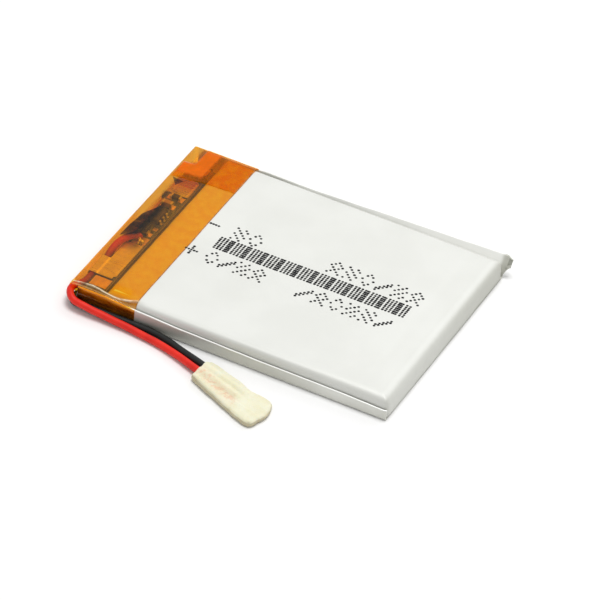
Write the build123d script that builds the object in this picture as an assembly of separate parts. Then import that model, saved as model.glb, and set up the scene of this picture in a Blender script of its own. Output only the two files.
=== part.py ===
from build123d import *
from build123d.topology import SkipClean
import math
import os

# Flat rechargeable pouch cell with its protection board, two flexible leads and tape wraps.
# Units are millimetres, +Z is up. The origin is the centre of the pouch's underside.
# +X runs from the taped head to the folded bottom end, -Y is the side where the leads lie,
# and the large cup face is on top.
# Coordinates below are counted from the head end (x), the lead side (y) and the underside (z).
# "Near" means the lead side, "far" the side opposite.

os.makedirs("parts", exist_ok=True)

LENGTH = 49.0            # head edge to bottom end
WIDTH = 37.0             # over the folded side seals
THICK = 3.4              # underside to cup face


# ---- helpers ------------------------------------------------------------------------
def at(x, y, z=0.0):
    return Vector(x - LENGTH / 2, y - WIDTH / 2, z)


def placed(shape, centre):
    return Pos(centre.X, centre.Y, centre.Z) * shape


def block(x0, x1, y0, y1, z0, z1):
    centre = at((x0 + x1) / 2, (y0 + y1) / 2, (z0 + z1) / 2)
    return placed(Box(x1 - x0, y1 - y0, z1 - z0), centre)


def prism(corners, direction):
    return Solid.extrude(Face(Wire.make_polygon(corners, close=True)), direction)


def profile_xz(points, y0, y1):
    """Solid from an outline in the XZ plane, between two y stations."""
    return prism([at(x, y0, z) for x, z in points], Vector(0, y1 - y0, 0))


def profile_yz(points, x0, x1):
    """Solid from an outline in the YZ plane, between two x stations."""
    return prism([at(x0, y, z) for y, z in points], Vector(x1 - x0, 0, 0))


def bent_strip(points, y, radius, width, thickness):
    """Flat strip that follows (x, z) points with rounded bends, centred on y."""
    path = FilletPolyline(*[at(x, y, z) for x, z in points], radius=radius)
    plane = Plane(origin=path @ 0, x_dir=(0, 1, 0), z_dir=path % 0)
    return sweep(plane * Rectangle(width, thickness), path=path)


def curve(points, start, end):
    """Chain of cubic curves through the points, smooth at every joint."""
    steps = [b - a for a, b in zip(points, points[1:])]
    gaps = [step.length for step in steps]
    tangents = [Vector(*start)]
    for i in range(1, len(steps)):
        before = steps[i - 1] * (1 / gaps[i - 1])
        after = steps[i] * (1 / gaps[i])
        tangents.append(before * gaps[i] + after * gaps[i - 1])
    tangents.append(Vector(*end))
    tangents = [tangent.normalized() for tangent in tangents]
    return [Edge.make_bezier(points[i], points[i] + tangents[i] * (gap / 3),
                             points[i + 1] - tangents[i + 1] * (gap / 3), points[i + 1])
            for i, gap in enumerate(gaps)]


def rod(edges, radius):
    """Round rod along a chain of edges."""
    path = Wire(edges) if len(edges) > 1 else edges[0]
    plane = Plane(origin=path @ 0, z_dir=path % 0)
    return Solid.sweep((plane * Circle(radius)).face(), path=path,
                       transition=Transition.TRANSFORMED)


def straight_rod(start, end, radius):
    return rod([Edge.make_line(start, end)], radius)


def largest(shape):
    return max(shape.solids(), key=lambda solid: solid.volume)


def group(shapes):
    return Compound(children=list(shapes))


def save(shape, name):
    if isinstance(shape, Part) and len(shape.solids()) == 1:
        shape = shape.solid()
    shape.label = name
    export_step(shape, "parts/" + name + ".step")


# ---- pouch: deep drawn cup and flat cover of one folded sheet of film ---------------
FILM = 0.113             # aluminium laminate
FILM_GAP = 0.007         # bond line between two sheets of film

HEAD = 0.5               # edge of the top seal
SHOULDER = 5.1           # cup wall that faces the head
BOTTOM = 48.85           # cup wall at the folded end
CUP_SIDE = 0.55          # cup side wall
CUP_CORNER_R = 1.2       # plan corners of the cup
CUP_EDGE_R = 1.0         # edge between the cup face and its walls

FLANGE_Z0 = FILM + FILM_GAP          # underside of the cup's flange
FLANGE_Z1 = FLANGE_Z0 + FILM
SEAL_OUT = 0.08                      # outer face of the folded side seal
SEAL_IN = SEAL_OUT + FILM + FILM_GAP # outer face of its inner sheet
RIM_Z = 2.90             # trimmed edge of the far side seal
EAR = 1.15               # tail of the far side seal that stands past the bottom end
EAR_Z = 0.9              # lower edge of that tail

# Trimmed edge of the near side seal, (x, z). It is high under the head tape and lower
# towards the bottom end, and starts past the corner opening where the leads come out.
NEAR_RIM = [(1.05, 2.90), (5.5, 2.90), (9.8, 2.57), (12.5, 2.46), (17.0, 2.18),
            (29.0, 1.93), (BOTTOM, 1.78)]

TAPE_END = 10.1          # edge of the head tape on the cup

TAB_W = 4.0
TAB_T = 0.08
TAB_YS = {"negative": 7.2, "positive": 28.8}     # tab centre lines
SEALANT_HALF = TAB_W / 2 + 0.95                  # half width of the sealant on a tab
BULGE_MARGIN = 0.15      # flange bulge past each side of the sealant
BULGE_Z = 0.40
CHANNEL_MARGIN = 0.03    # channel in the bulge past each side of the sealant
CHANNEL_Z = 0.287


def side_walls(y_out, z_base):
    """Near wall, far wall and ear of one sheet; y_out is its outer face on the near side."""
    far0, far1 = WIDTH - y_out - FILM, WIDTH - y_out
    near = [(NEAR_RIM[0][0], z_base), *NEAR_RIM, (BOTTOM, z_base)]
    return [
        profile_xz(near, y_out, y_out + FILM),
        block(HEAD, BOTTOM, far0, far1, z_base, RIM_Z),
        block(BOTTOM - 0.1, BOTTOM + EAR, far0, far1, EAR_Z, RIM_Z),
    ]


def cup_form(inset):
    """Rounded form of the cup, moved inwards by inset."""
    form = block(SHOULDER + inset, BOTTOM - inset, CUP_SIDE + inset,
                 WIDTH - CUP_SIDE - inset, FLANGE_Z0, THICK - inset)
    form = fillet(form.edges().filter_by(Axis.Z), CUP_CORNER_R - inset)
    return fillet(form.faces().sort_by(Axis.Z)[-1].edges(), CUP_EDGE_R - inset)


def pouch_cup():
    flange = block(HEAD, BOTTOM, SEAL_IN, WIDTH - SEAL_IN, FLANGE_Z0, FLANGE_Z1)
    for wall in side_walls(SEAL_IN, FLANGE_Z0):
        flange += wall
    half = SEALANT_HALF + BULGE_MARGIN
    for y in TAB_YS.values():
        flange += block(HEAD, SHOULDER + 0.05, y - half, y + half, FLANGE_Z0, BULGE_Z)
    cup = (flange + cup_form(0)) - cup_form(FILM)
    half = SEALANT_HALF + CHANNEL_MARGIN
    for y in TAB_YS.values():
        cup -= block(HEAD - 0.1, SHOULDER + 0.5, y - half, y + half,
                     FLANGE_Z0 - 0.01, CHANNEL_Z)
    return cup


def pouch_cover():
    """Flat cover. Its underside stays two coplanar faces that meet by the tape's edge."""
    split = TAPE_END + 0.1
    head_sheet = block(HEAD, split, SEAL_OUT, WIDTH - SEAL_OUT, 0, FILM)
    main_sheet = block(split, BOTTOM, SEAL_OUT, WIDTH - SEAL_OUT, 0, FILM)
    walls = side_walls(SEAL_OUT, 0)
    with SkipClean():
        cover = head_sheet + main_sheet
        for wall in walls:
            cover = cover + wall
    return cover


save(pouch_cup(), "pouch_cup")
save(pouch_cover(), "pouch_cover")

# ---- wound electrodes ---------------------------------------------------------------
ROLL_X0, ROLL_X1 = 6.2, 47.8
ELECTRODE_T = 0.11
SEPARATOR_T = 0.02
LAYER_GAP = 0.015
CORE_SLOT = 0.12         # half height of the slot at the centre of the winding
TURNS = 4
PITCH = 2 * ELECTRODE_T + 2 * SEPARATOR_T + 4 * LAYER_GAP
ROLL_MID_Z = 1.838       # the winding grows further down than up
ROLL_R = CORE_SLOT + TURNS * PITCH
ROLL_CLEAR = 0.35        # between the winding and the cup's side walls
ROLL_Y0 = CUP_SIDE + FILM + ROLL_CLEAR + ROLL_R + PITCH / 2      # arc centres
ROLL_Y1 = WIDTH - CUP_SIDE - FILM - ROLL_CLEAR - ROLL_R

# Layers from the inside out: name, thickness, setback at each end of the roll
LAYERS = [
    ("separator_inner", SEPARATOR_T, 0),
    ("anode_foil", ELECTRODE_T, 0.7),
    ("separator_outer", SEPARATOR_T, 0),
    ("cathode_foil", ELECTRODE_T, 1.1),
]


def spiral(offset):
    """Flat spiral as (y, z) points: two for a line, three for an arc. Far side arcs turn
    about the middle height, near side arcs half a pitch lower, so the winding grows."""
    pieces = []
    radius = CORE_SLOT + offset
    low_mid = ROLL_MID_Z - PITCH / 2
    for turn in range(TURNS):
        top = ROLL_MID_Z + radius
        near_r = radius + PITCH / 2
        bottom = low_mid - near_r
        pieces.append([(ROLL_Y1, top), (ROLL_Y0, top)])
        pieces.append([(ROLL_Y0, top), (ROLL_Y0 - near_r, low_mid), (ROLL_Y0, bottom)])
        pieces.append([(ROLL_Y0, bottom), (ROLL_Y1, bottom)])
        radius += PITCH
        if turn < TURNS - 1:
            pieces.append([(ROLL_Y1, bottom), (ROLL_Y1 + radius, ROLL_MID_Z),
                           (ROLL_Y1, ROLL_MID_Z + radius)])
    return pieces


def wound_layer(offset, thickness, x0, x1):
    inner = spiral(offset)
    outer = spiral(offset + thickness)
    ends = [[inner[0][0], outer[0][0]], [inner[-1][-1], outer[-1][-1]]]
    edges = []
    for piece in inner + outer + ends:
        points = [at(x0, y, z) for y, z in piece]
        make = Edge.make_line if len(points) == 2 else Edge.make_three_point_arc
        edges.append(make(*points))
    return Solid.extrude(Face(Wire(edges)), Vector(x1 - x0, 0, 0))


def termination_tape():
    """Strip of tape that holds the last turn closed, under the cup face."""
    z0 = ROLL_MID_Z + ROLL_R - LAYER_GAP + 0.012
    return block(ROLL_X0 + 3, ROLL_X1 - 3, 14.0, 22.0, z0, z0 + 0.03)


layer_offset = 0.0
for name, thickness, setback in LAYERS:
    save(wound_layer(layer_offset, thickness, ROLL_X0 + setback, ROLL_X1 - setback), name)
    layer_offset += thickness + LAYER_GAP
save(termination_tape(), "termination_tape")

# ---- tabs: from the core of the winding, through the top seal, back over the board --
BOARD_X0, BOARD_X1 = 1.15, 3.95
BOARD_Y0, BOARD_Y1 = 2.6, 35.0
BOARD_Z0, BOARD_T = 1.0, 0.6
BOARD_Z1 = BOARD_Z0 + BOARD_T

TAB_SEAL_Z = 0.20        # height of the tabs in the top seal
TAB_FRONT = -0.08        # upright stretch at the head
TAB_OVER_Z = 1.84        # crest between the upright and the board
TAB_TOP_Z = BOARD_Z1 + 0.20
TAB_BEND_R = 0.12
# Middle line of a tab, (x, z)
TAB_LINE = [
    (30.0, ROLL_MID_Z), (5.85, ROLL_MID_Z),
    (5.50, TAB_SEAL_Z), (TAB_FRONT, TAB_SEAL_Z),
    (TAB_FRONT, 1.50), (0.12, TAB_OVER_Z),
    (1.15, TAB_OVER_Z), (1.45, TAB_TOP_Z), (3.70, TAB_TOP_Z),
]


def tab_sealant(y):
    """Sealant bar with a slot that clears the tab."""
    bar = block(0.28, SHOULDER - 0.15, y - SEALANT_HALF, y + SEALANT_HALF, 0.125, 0.280)
    half_w = TAB_W / 2 + 0.005
    half_t = TAB_T / 2 + 0.004
    return bar - block(0.0, SHOULDER + 1, y - half_w, y + half_w,
                       TAB_SEAL_Z - half_t, TAB_SEAL_Z + half_t)


for pole, tab_y in TAB_YS.items():
    save(bent_strip(TAB_LINE, tab_y, TAB_BEND_R, TAB_W, TAB_T), pole + "_tab")
    save(tab_sealant(tab_y), pole + "_tab_sealant")

# ---- protection board on the terrace ------------------------------------------------
MOUNT_GAP = 0.003                # between the board and what is mounted on it
MOUNT_Z = BOARD_Z1 + MOUNT_GAP   # underside of the parts on top
PAD_T = 0.04
NICKEL_T = 0.15
NICKEL_X1 = 3.93

NEAR_TEST_PAD = (1.35, 3.93, 2.9, 5.0)       # pads as x0, x1, y0, y1
UNDERSIDE_PAD = (1.8, 3.2, 2.9, 4.9)         # negative lead, under the board
TOP_PADS = [
    (1.9, 3.9, 14.1, 15.9),                              # positive lead
    (1.3, 2.1, 25.6, 26.7), (3.05, 3.8, 25.6, 26.7),     # resistor R1
    (1.3, 1.85, 23.5, 24.5), (2.85, 3.5, 23.5, 24.5),    # capacitor C1
    (1.4, 2.1, 16.4, 17.2), (2.95, 3.7, 16.4, 17.2),     # resistor R2
    (3.15, 3.8, 18.0, 18.7),
    (1.35, 3.75, 33.0, 34.5),                            # test pad at the far end
]

# Chips: name, x0, x1, y0, y1, height
CHIPS = [
    ("resistor_r1", 1.75, 3.40, 25.75, 26.55, 0.45),
    ("capacitor_c1", 1.55, 3.15, 23.60, 24.40, 0.80),
    ("resistor_r2", 1.75, 3.30, 16.42, 17.18, 0.45),
]
CHIP_LIFT = 0.05

IC_X0, IC_X1 = 1.85, 3.25
IC_Y0, IC_Y1 = 19.2, 22.3
IC_Z0, IC_Z1 = MOUNT_Z + 0.12, MOUNT_Z + 1.08
PIN_PITCH = 0.95
PIN_W, PIN_T = 0.38, 0.10
# Middle line of a pin: distance out from the pin's root, height over MOUNT_Z
PIN_LINE = [(0, 0.55), (0.20, 0.55), (0.26, 0.06), (0.50, 0.06)]


def circuit_board():
    board = block(BOARD_X0, BOARD_X1, BOARD_Y0, BOARD_Y1, BOARD_Z0, BOARD_Z1)
    return fillet(board.edges().filter_by(Axis.Z), 0.3)


def board_pads():
    under_z = BOARD_Z0 - MOUNT_GAP
    top = [block(*pad, MOUNT_Z, MOUNT_Z + PAD_T) for pad in [NEAR_TEST_PAD, *TOP_PADS]]
    return group([top[0], block(*UNDERSIDE_PAD, under_z - PAD_T, under_z), *top[1:]])


def nickel_pad(x0, y0, y1):
    pad = block(x0, NICKEL_X1, y0, y1, MOUNT_Z, MOUNT_Z + NICKEL_T)
    return fillet(pad.edges().filter_by(Axis.Z), 0.12)


def protection_ic():
    """Moulded body of the protection chip."""
    body = block(IC_X0, IC_X1, IC_Y0, IC_Y1, IC_Z0, IC_Z1)
    return chamfer(body.faces().sort_by(Axis.Z)[-1].edges(), 0.14)


def ic_pins():
    """Six gull-wing pins, three on each long side of the body."""
    pins = []
    for side, root in ((-1, IC_X0 - 0.005), (1, IC_X1 + 0.005)):
        line = [(root + side * out, MOUNT_Z + up) for out, up in PIN_LINE]
        for k in (-1, 0, 1):
            y = (IC_Y0 + IC_Y1) / 2 + PIN_PITCH * k
            pins.append(bent_strip(line, y, 0.06, PIN_W, PIN_T).solid())
    return group(pins)


def chip(x0, x1, y0, y1, height):
    z0 = MOUNT_Z + CHIP_LIFT
    body = block(x0, x1, y0, y1, z0, z0 + height)
    return fillet(body.edges().filter_by(Axis.X), 0.05)


save(block(1.0, 4.0, 2.8, 35.6, 0.42, 0.52), "insulating_paper")
save(block(1.45, 3.65, 5.4, 34.4, 0.54, 0.98), "foam_pad")
save(circuit_board(), "circuit_board")
save(board_pads(), "board_pads")
save(nickel_pad(1.30, 5.9, 13.9), "negative_nickel_pad")
save(nickel_pad(1.40, 27.0, 30.6), "positive_nickel_pad")
save(protection_ic(), "protection_ic")
save(ic_pins(), "ic_pins")
for name, *size in CHIPS:
    save(chip(*size), name)

# ---- leads --------------------------------------------------------------------------
LEAD_R = 0.52            # lead insulation
BORE_R = 0.215           # bore of the insulation
CORE_R = 0.20            # tinned strands

# Each lead is made in three lengths along x: tail, bend and free run.
TAIL_END = 2.2
BEND_START = TAIL_END + 0.2
RUN_START = 5.6
BEND_END = RUN_START - 0.86   # leaves room for the run's rounded start

# The lead ends lie in a frame turned in plan: "along" the leads and "across" them.
LEAD_DIR = math.radians(-17.8)
ALONG = (math.cos(LEAD_DIR), math.sin(LEAD_DIR))
ACROSS = (-ALONG[1], ALONG[0])
WRAP_T = 1.46            # folded paper tape over the lead ends
WRAP_MID_Z = WRAP_T / 2
STRAIGHT_START = 22.3    # stations along the leads
INSULATION_END = 30.3
CORE_TIP = 32.6
LEAD_ACROSS = {"red": 2.41, "black": 3.67}

# Positive lead, (x, y, z). It starts on the board, runs along the head edge, comes out at
# the near corner, and turns back along the side of the cell.
RED_TAIL = [
    (3.15, 14.45, 1.90), (2.62, 15.05, 2.20), (2.18, 15.18, 2.26), (1.60, 14.50, 2.27),
    (0.93, 13.10, 2.22), (0.58, 11.70, 1.95), (0.52, 10.50, 1.55), (0.53, 9.55, 1.22),
    (0.55, 8.0, 1.20), (0.55, 5.2, 1.20), (0.50, 3.3, 1.28), (0.28, 2.3, 1.50),
    (-0.14, 1.05, 1.75), (0.06, -0.10, 1.76), (0.84, -1.03, 1.59), (1.57, -1.34, 1.42),
    (TAIL_END, -1.43, 1.36),
]
RED_BEND = [(BEND_START, -1.44, 1.355), (3.2, -1.48, 1.26), (4.0, -1.52, 1.15),
            (BEND_END, -1.53, 1.06)]
RED_RUN = [(RUN_START, -1.53, 0.99), (7.8, -1.59, 0.80), (9.6, -1.66, 0.69),
           (12.1, -1.9, 0.55), (15.5, -2.43, 0.53), (18.4, -3.23, 0.60)]
# Negative lead. It is soldered under the near end of the board and passes under the red.
BLACK_TAIL = [
    (2.50, 4.30, 0.75), (2.46, 2.30, 0.79), (2.08, 1.60, 0.81), (1.40, 1.22, 0.82),
    (0.78, 1.02, 0.79), (0.38, 0.60, 0.70), (0.34, 0.0, 0.60), (0.62, -0.42, 0.54),
    (1.25, -0.55, 0.52), (TAIL_END, -0.55, 0.52),
]
BLACK_RUN = [(RUN_START, -0.55, 0.52), (8.2, -0.55, 0.52), (10.9, -0.55, 0.52),
             (12.6, -0.60, 0.52), (14.3, -0.80, 0.52), (16.5, -1.35, 0.55),
             (18.8, -2.15, 0.60)]


def at_lead(along, across, z):
    return at(along * ALONG[0] + across * ACROSS[0], along * ALONG[1] + across * ACROSS[1], z)


def lead_curve(stations, start, end):
    return curve([at(*station) for station in stations], start, end)


def insulation(edges):
    return rod(edges, LEAD_R) - rod(edges, BORE_R)


def run_path(stations, across, end, slope):
    """Curve through the stations, then straight to the end station along the leads."""
    entry = at_lead(STRAIGHT_START, across, WRAP_MID_Z)
    points = [at(*station) for station in stations] + [entry]
    path = curve(points, (1, 0, slope), (*ALONG, 0))
    return path + [Edge.make_line(entry, at_lead(end, across, WRAP_MID_Z))]


def run_insulation(stations, across, slope):
    """Insulation of the free run, with a half ball at its start."""
    start = at(*stations[0])
    ball = placed(Sphere(LEAD_R), start)
    ball = ball - placed(Box(4, 4, 4), start + Vector(2, 0, 0))
    return insulation(run_path(stations, across, INSULATION_END, slope)) + ball


def solder_mound(radius, stretch, centre, bounds, cutters):
    """Stretched ball, trimmed to its bounds and cut clear of the lead."""
    mound = placed(scale(Sphere(radius), by=stretch), centre) & bounds
    for cutter in cutters:
        mound = mound - cutter
    return largest(mound)


def solder_joints(red, black):
    """One mound on the board for the positive lead, one under it for the negative lead."""
    clear_r = CORE_R + 0.004
    first = red[0]
    before = first @ 0 - (first % 0) * 1.0
    after = first @ 1 + (first % 1) * 0.8
    top = solder_mound(
        0.60, (1.1, 1.1, 0.75), at(3.02, 14.66, MOUNT_Z + 0.05),
        block(1, 5, 12, 17, MOUNT_Z + PAD_T + 0.005, MOUNT_Z + 1.5),
        [straight_rod(before, first @ 0, clear_r), rod([first], clear_r),
         straight_rod(first @ 1, after, LEAD_R + 0.02)])
    low = solder_mound(
        0.50, (1.1, 1.5, 0.62), at(2.50, 3.85, 0.75),
        block(1, 4, 2.7, 5.0, 0.54, 0.95),
        [straight_rod(at(2.50, 5.3, 0.75), black[0] @ 0, clear_r),
         rod([black[0]], clear_r)])
    return group([top, low])


red_tail = lead_curve(RED_TAIL, start=(-0.6, 0.75, 0.22), end=(1.0, -0.06, -0.05))
black_tail = lead_curve(BLACK_TAIL, start=(0.0, -1.0, 0.0), end=(1.0, 0.0, 0.0))
red_bend = lead_curve(RED_BEND, start=(1.0, -0.06, -0.05), end=(1.0, 0.0, -0.10))
black_bend = [Edge.make_line(at(BEND_START, *BLACK_RUN[0][1:]),
                             at(BEND_END, *BLACK_RUN[0][1:]))]

# Colour, tail, bend, stations of the run, slope of the run's start
for colour, tail, bend, stations, slope in (
        ("red", red_tail, red_bend, RED_RUN, -0.09),
        ("black", black_tail, black_bend, BLACK_RUN, 0.0)):
    across = LEAD_ACROSS[colour]
    save(insulation(tail[1:]), colour + "_lead_tail")    # the first stretch is stripped
    save(rod(tail, CORE_R), colour + "_core_tail")
    save(insulation(bend), colour + "_lead_bend")
    save(rod(bend, CORE_R), colour + "_core_bend")
    save(run_insulation(stations, across, slope), colour + "_lead_run")
    save(rod(run_path(stations, across, CORE_TIP, slope), CORE_R), colour + "_core_run")
save(solder_joints(red_tail, black_tail), "solder_joints")

# ---- folded paper tape over the lead ends -------------------------------------------
# Plan outline, (along, across)
WRAP_OUTLINE = [(22.6, 5.35), (34.2, 5.55), (35.6, 3.4), (35.35, -0.5), (23.4, 0.8)]


def lead_end_wrap():
    corners = [at_lead(along, across, 0) for along, across in WRAP_OUTLINE]
    wrap = prism(corners, Vector(0, 0, WRAP_T))
    wrap = fillet(wrap.edges(), 0.28)
    for across in LEAD_ACROSS.values():
        wrap = wrap - straight_rod(at_lead(22.0, across, WRAP_MID_Z),
                                   at_lead(33.0, across, WRAP_MID_Z), LEAD_R + 0.03)
    return wrap


save(lead_end_wrap(), "lead_end_wrap")

# ---- polyimide tape over the head ---------------------------------------------------
TAPE = 0.06              # tape thickness
TAPE_FRONT = -0.20       # outer face of the head tape in front of the head edge
TAPE_IN_X = TAPE_FRONT + TAPE
TAPE_IN_Y = 0.06         # inner face of the head tape at the sides
TAPE_IN_Z = THICK + 0.01 # inner face over the cup
CORNER_TAPE_Y = 29.1     # inner edge of the second piece of tape
CORNER_NOTCH = (2.0, 32.5)   # its outer corner at the head is cut back to this x, y


def sleeve(offset, x_end):
    """Form of the tape at an offset from the inner face of the head tape."""
    top = TAPE_IN_Z + offset
    front = TAPE_IN_X - offset
    side = [(x_end, top), (5.3, top), (0.02, 2.96 + offset), (front, 2.86 + offset),
            (front, -offset), (x_end, -offset)]
    y0 = TAPE_IN_Y - offset
    edge_y = 0.92 - offset * 0.6
    edge_z = 2.93 + offset * 0.6
    end = [(y0, -offset), (y0, edge_z), (edge_y, top),
           (WIDTH - edge_y, top), (WIDTH - y0, edge_z), (WIDTH - y0, -offset)]
    return profile_xz(side, -1, WIDTH + 1) & profile_yz(end, -2, x_end)


def head_tape():
    tape = sleeve(TAPE, TAPE_END) - sleeve(0.0, TAPE_END + 1)
    # Opening where the leads leave at the corner
    for x1, y1 in ((0.62, 2.6), (1.02, 0.8)):
        tape = tape - block(-2, x1, -1, y1, 0.02, 2.80)
    return largest(tape)


def corner_tape():
    """Second piece of tape, over the head tape at the far corner."""
    tape = sleeve(TAPE + 0.08, TAPE_END - 0.15) - sleeve(TAPE + 0.02, TAPE_END + 1)
    tape = tape & block(0.10, 12, CORNER_TAPE_Y, WIDTH + 1, 0.8, 5)
    tape = tape - block(-1, CORNER_NOTCH[0], CORNER_NOTCH[1], WIDTH + 2, 0, 6)
    return largest(tape)


save(head_tape(), "head_tape")
save(corner_tape(), "corner_tape")
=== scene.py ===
# Flat pouch cell with a taped protection board, two leads and a paper wrap on the lead ends.
# Helper coordinates are millimetres: x from the head edge towards the bottom end, y from the
# lead side ("near") to the other side ("far"), z up from the cell's underside. The meshes are
# in metres, centred on the cell's footprint.
import math
import random

import bmesh
import bpy
import numpy as np
from mathutils import Matrix, Vector, noise


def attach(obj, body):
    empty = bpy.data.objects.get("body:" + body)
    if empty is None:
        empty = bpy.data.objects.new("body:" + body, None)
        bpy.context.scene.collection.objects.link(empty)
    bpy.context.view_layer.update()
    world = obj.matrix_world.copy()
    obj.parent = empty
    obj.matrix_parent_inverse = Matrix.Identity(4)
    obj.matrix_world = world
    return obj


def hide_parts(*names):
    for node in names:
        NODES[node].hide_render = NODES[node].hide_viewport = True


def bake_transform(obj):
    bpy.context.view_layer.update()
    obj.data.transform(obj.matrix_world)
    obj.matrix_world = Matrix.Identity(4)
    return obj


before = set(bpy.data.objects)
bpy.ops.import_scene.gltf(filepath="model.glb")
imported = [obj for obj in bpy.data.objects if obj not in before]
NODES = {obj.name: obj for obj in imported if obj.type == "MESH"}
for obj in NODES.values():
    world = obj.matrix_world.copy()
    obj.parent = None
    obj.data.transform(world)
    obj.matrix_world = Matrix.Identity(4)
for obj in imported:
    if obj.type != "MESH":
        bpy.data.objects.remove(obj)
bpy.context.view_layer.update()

LENGTH, WIDTH = 49.0, 37.0
CENTRE_X, CENTRE_Y = LENGTH / 2, WIDTH / 2
FOLD_RADIUS_Y = 0.42                   # inset of the side folds on the underside
CUP_X = (5.05, 48.98)                  # shoulder and bottom end of the cup
CUP_Y = (FOLD_RADIUS_Y, WIDTH - FOLD_RADIUS_Y)
TAPE_START, TAPE_END = -0.20, 10.1     # x reach of the head tape
WRAP_ANGLE = math.radians(-17.8)       # heading of the rear leads and the paper wrap
ALONG = np.array([math.cos(WRAP_ANGLE), math.sin(WRAP_ANGLE), 0.0])
ACROSS = np.array([-math.sin(WRAP_ANGLE), math.cos(WRAP_ANGLE), 0.0])


# ---- numbers and meshes ---------------------------------------------------------------
def waver(x, y, z=0.0, size=1.0, seed=0.0):
    """Smooth noise about 0, with features about `size` mm across."""
    return noise.noise(Vector((x / size + 13.71 * seed, y / size - 7.93 * seed,
                               z / size + 3.17 * seed)))


def ramp(start, end, value):
    """Smooth step: 0 at start, 1 at end."""
    t = min(1.0, max(0.0, (value - start) / (end - start)))
    return t * t * (3 - 2 * t)


def mix(start, end, t):
    return start + (end - start) * t


def metres(point):
    return ((point[0] - CENTRE_X) * 0.001, (point[1] - CENTRE_Y) * 0.001, point[2] * 0.001)


def wrap_point(along, across, z):
    return along * ALONG + across * ACROSS + np.array([0, 0, z])


def flipped(faces):
    return [face[:1] + face[:0:-1] for face in faces]


def grid_faces(base, wide, high):
    faces = []
    for j in range(high - 1):
        for i in range(wide - 1):
            low = base + j * wide + i
            faces.append((low, low + 1, low + wide + 1, low + wide))
    return faces


def loft_faces(base, rings, count):
    """Walls between successive closed rings of `count` vertices."""
    faces = []
    for k in range(rings - 1):
        low = base + k * count
        for i in range(count):
            j = (i + 1) % count
            faces.append((low + i, low + j, low + count + j, low + count + i))
    return faces


def border(wide, high):
    """Indices round the edge of a grid."""
    right, top = wide - 1, high - 1
    ring = ([(i, 0) for i in range(right)] + [(right, j) for j in range(top)] +
            [(i, top) for i in range(right, 0, -1)] + [(0, j) for j in range(top, 0, -1)])
    return [j * wide + i for i, j in ring]


def plate_faces(base, wide, high):
    """Two grids, one stored after the other, closed round their edges."""
    layer = wide * high
    faces = []
    for lower in flipped(grid_faces(base, wide, high)):
        q = lower[0] + layer
        faces += [lower, (q, q + 1, q + wide + 1, q + wide)]
    ring = [base + i for i in border(wide, high)]
    for p, q in zip(ring, ring[1:] + ring[:1]):
        faces.append((p, q, q + layer, p + layer))
    return faces


def build(name, verts, faces, material, body=None, slot=None, stands=(), face_mats=None,
          merge=None, sharp=None, recalc=False, attributes=None):
    """Mesh object from points in mm; `merge` is a distance in mm, `sharp` an angle in degrees."""
    mesh = bpy.data.meshes.new(name)
    mesh.from_pydata([metres(v) for v in verts], [], faces)
    for m in material if isinstance(material, list) else [material]:
        mesh.materials.append(m)
    if face_mats is not None:
        mesh.polygons.foreach_set("material_index", face_mats)
    for key, values in (attributes or {}).items():
        layer = mesh.attributes.new(key, "FLOAT", "POINT")
        layer.data.foreach_set("value", np.asarray(values, np.float32))
    mesh.polygons.foreach_set("use_smooth", [True] * len(mesh.polygons))
    if merge or sharp or recalc:
        bm = bmesh.new()
        bm.from_mesh(mesh)
        if merge:
            bmesh.ops.remove_doubles(bm, verts=bm.verts, dist=merge * 0.001)
        if recalc:
            bmesh.ops.recalc_face_normals(bm, faces=bm.faces)
        if sharp:
            limit = math.radians(sharp)
            for edge in bm.edges:
                if len(edge.link_faces) == 2 and edge.calc_face_angle(0.0) > limit:
                    edge.smooth = False
        bm.to_mesh(mesh)
        bm.free()
    mesh.update()
    obj = bpy.data.objects.new(name, mesh)
    bpy.context.scene.collection.objects.link(obj)
    if body:
        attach(obj, body)
    if stands:
        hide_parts(*stands)
    return obj


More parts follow.
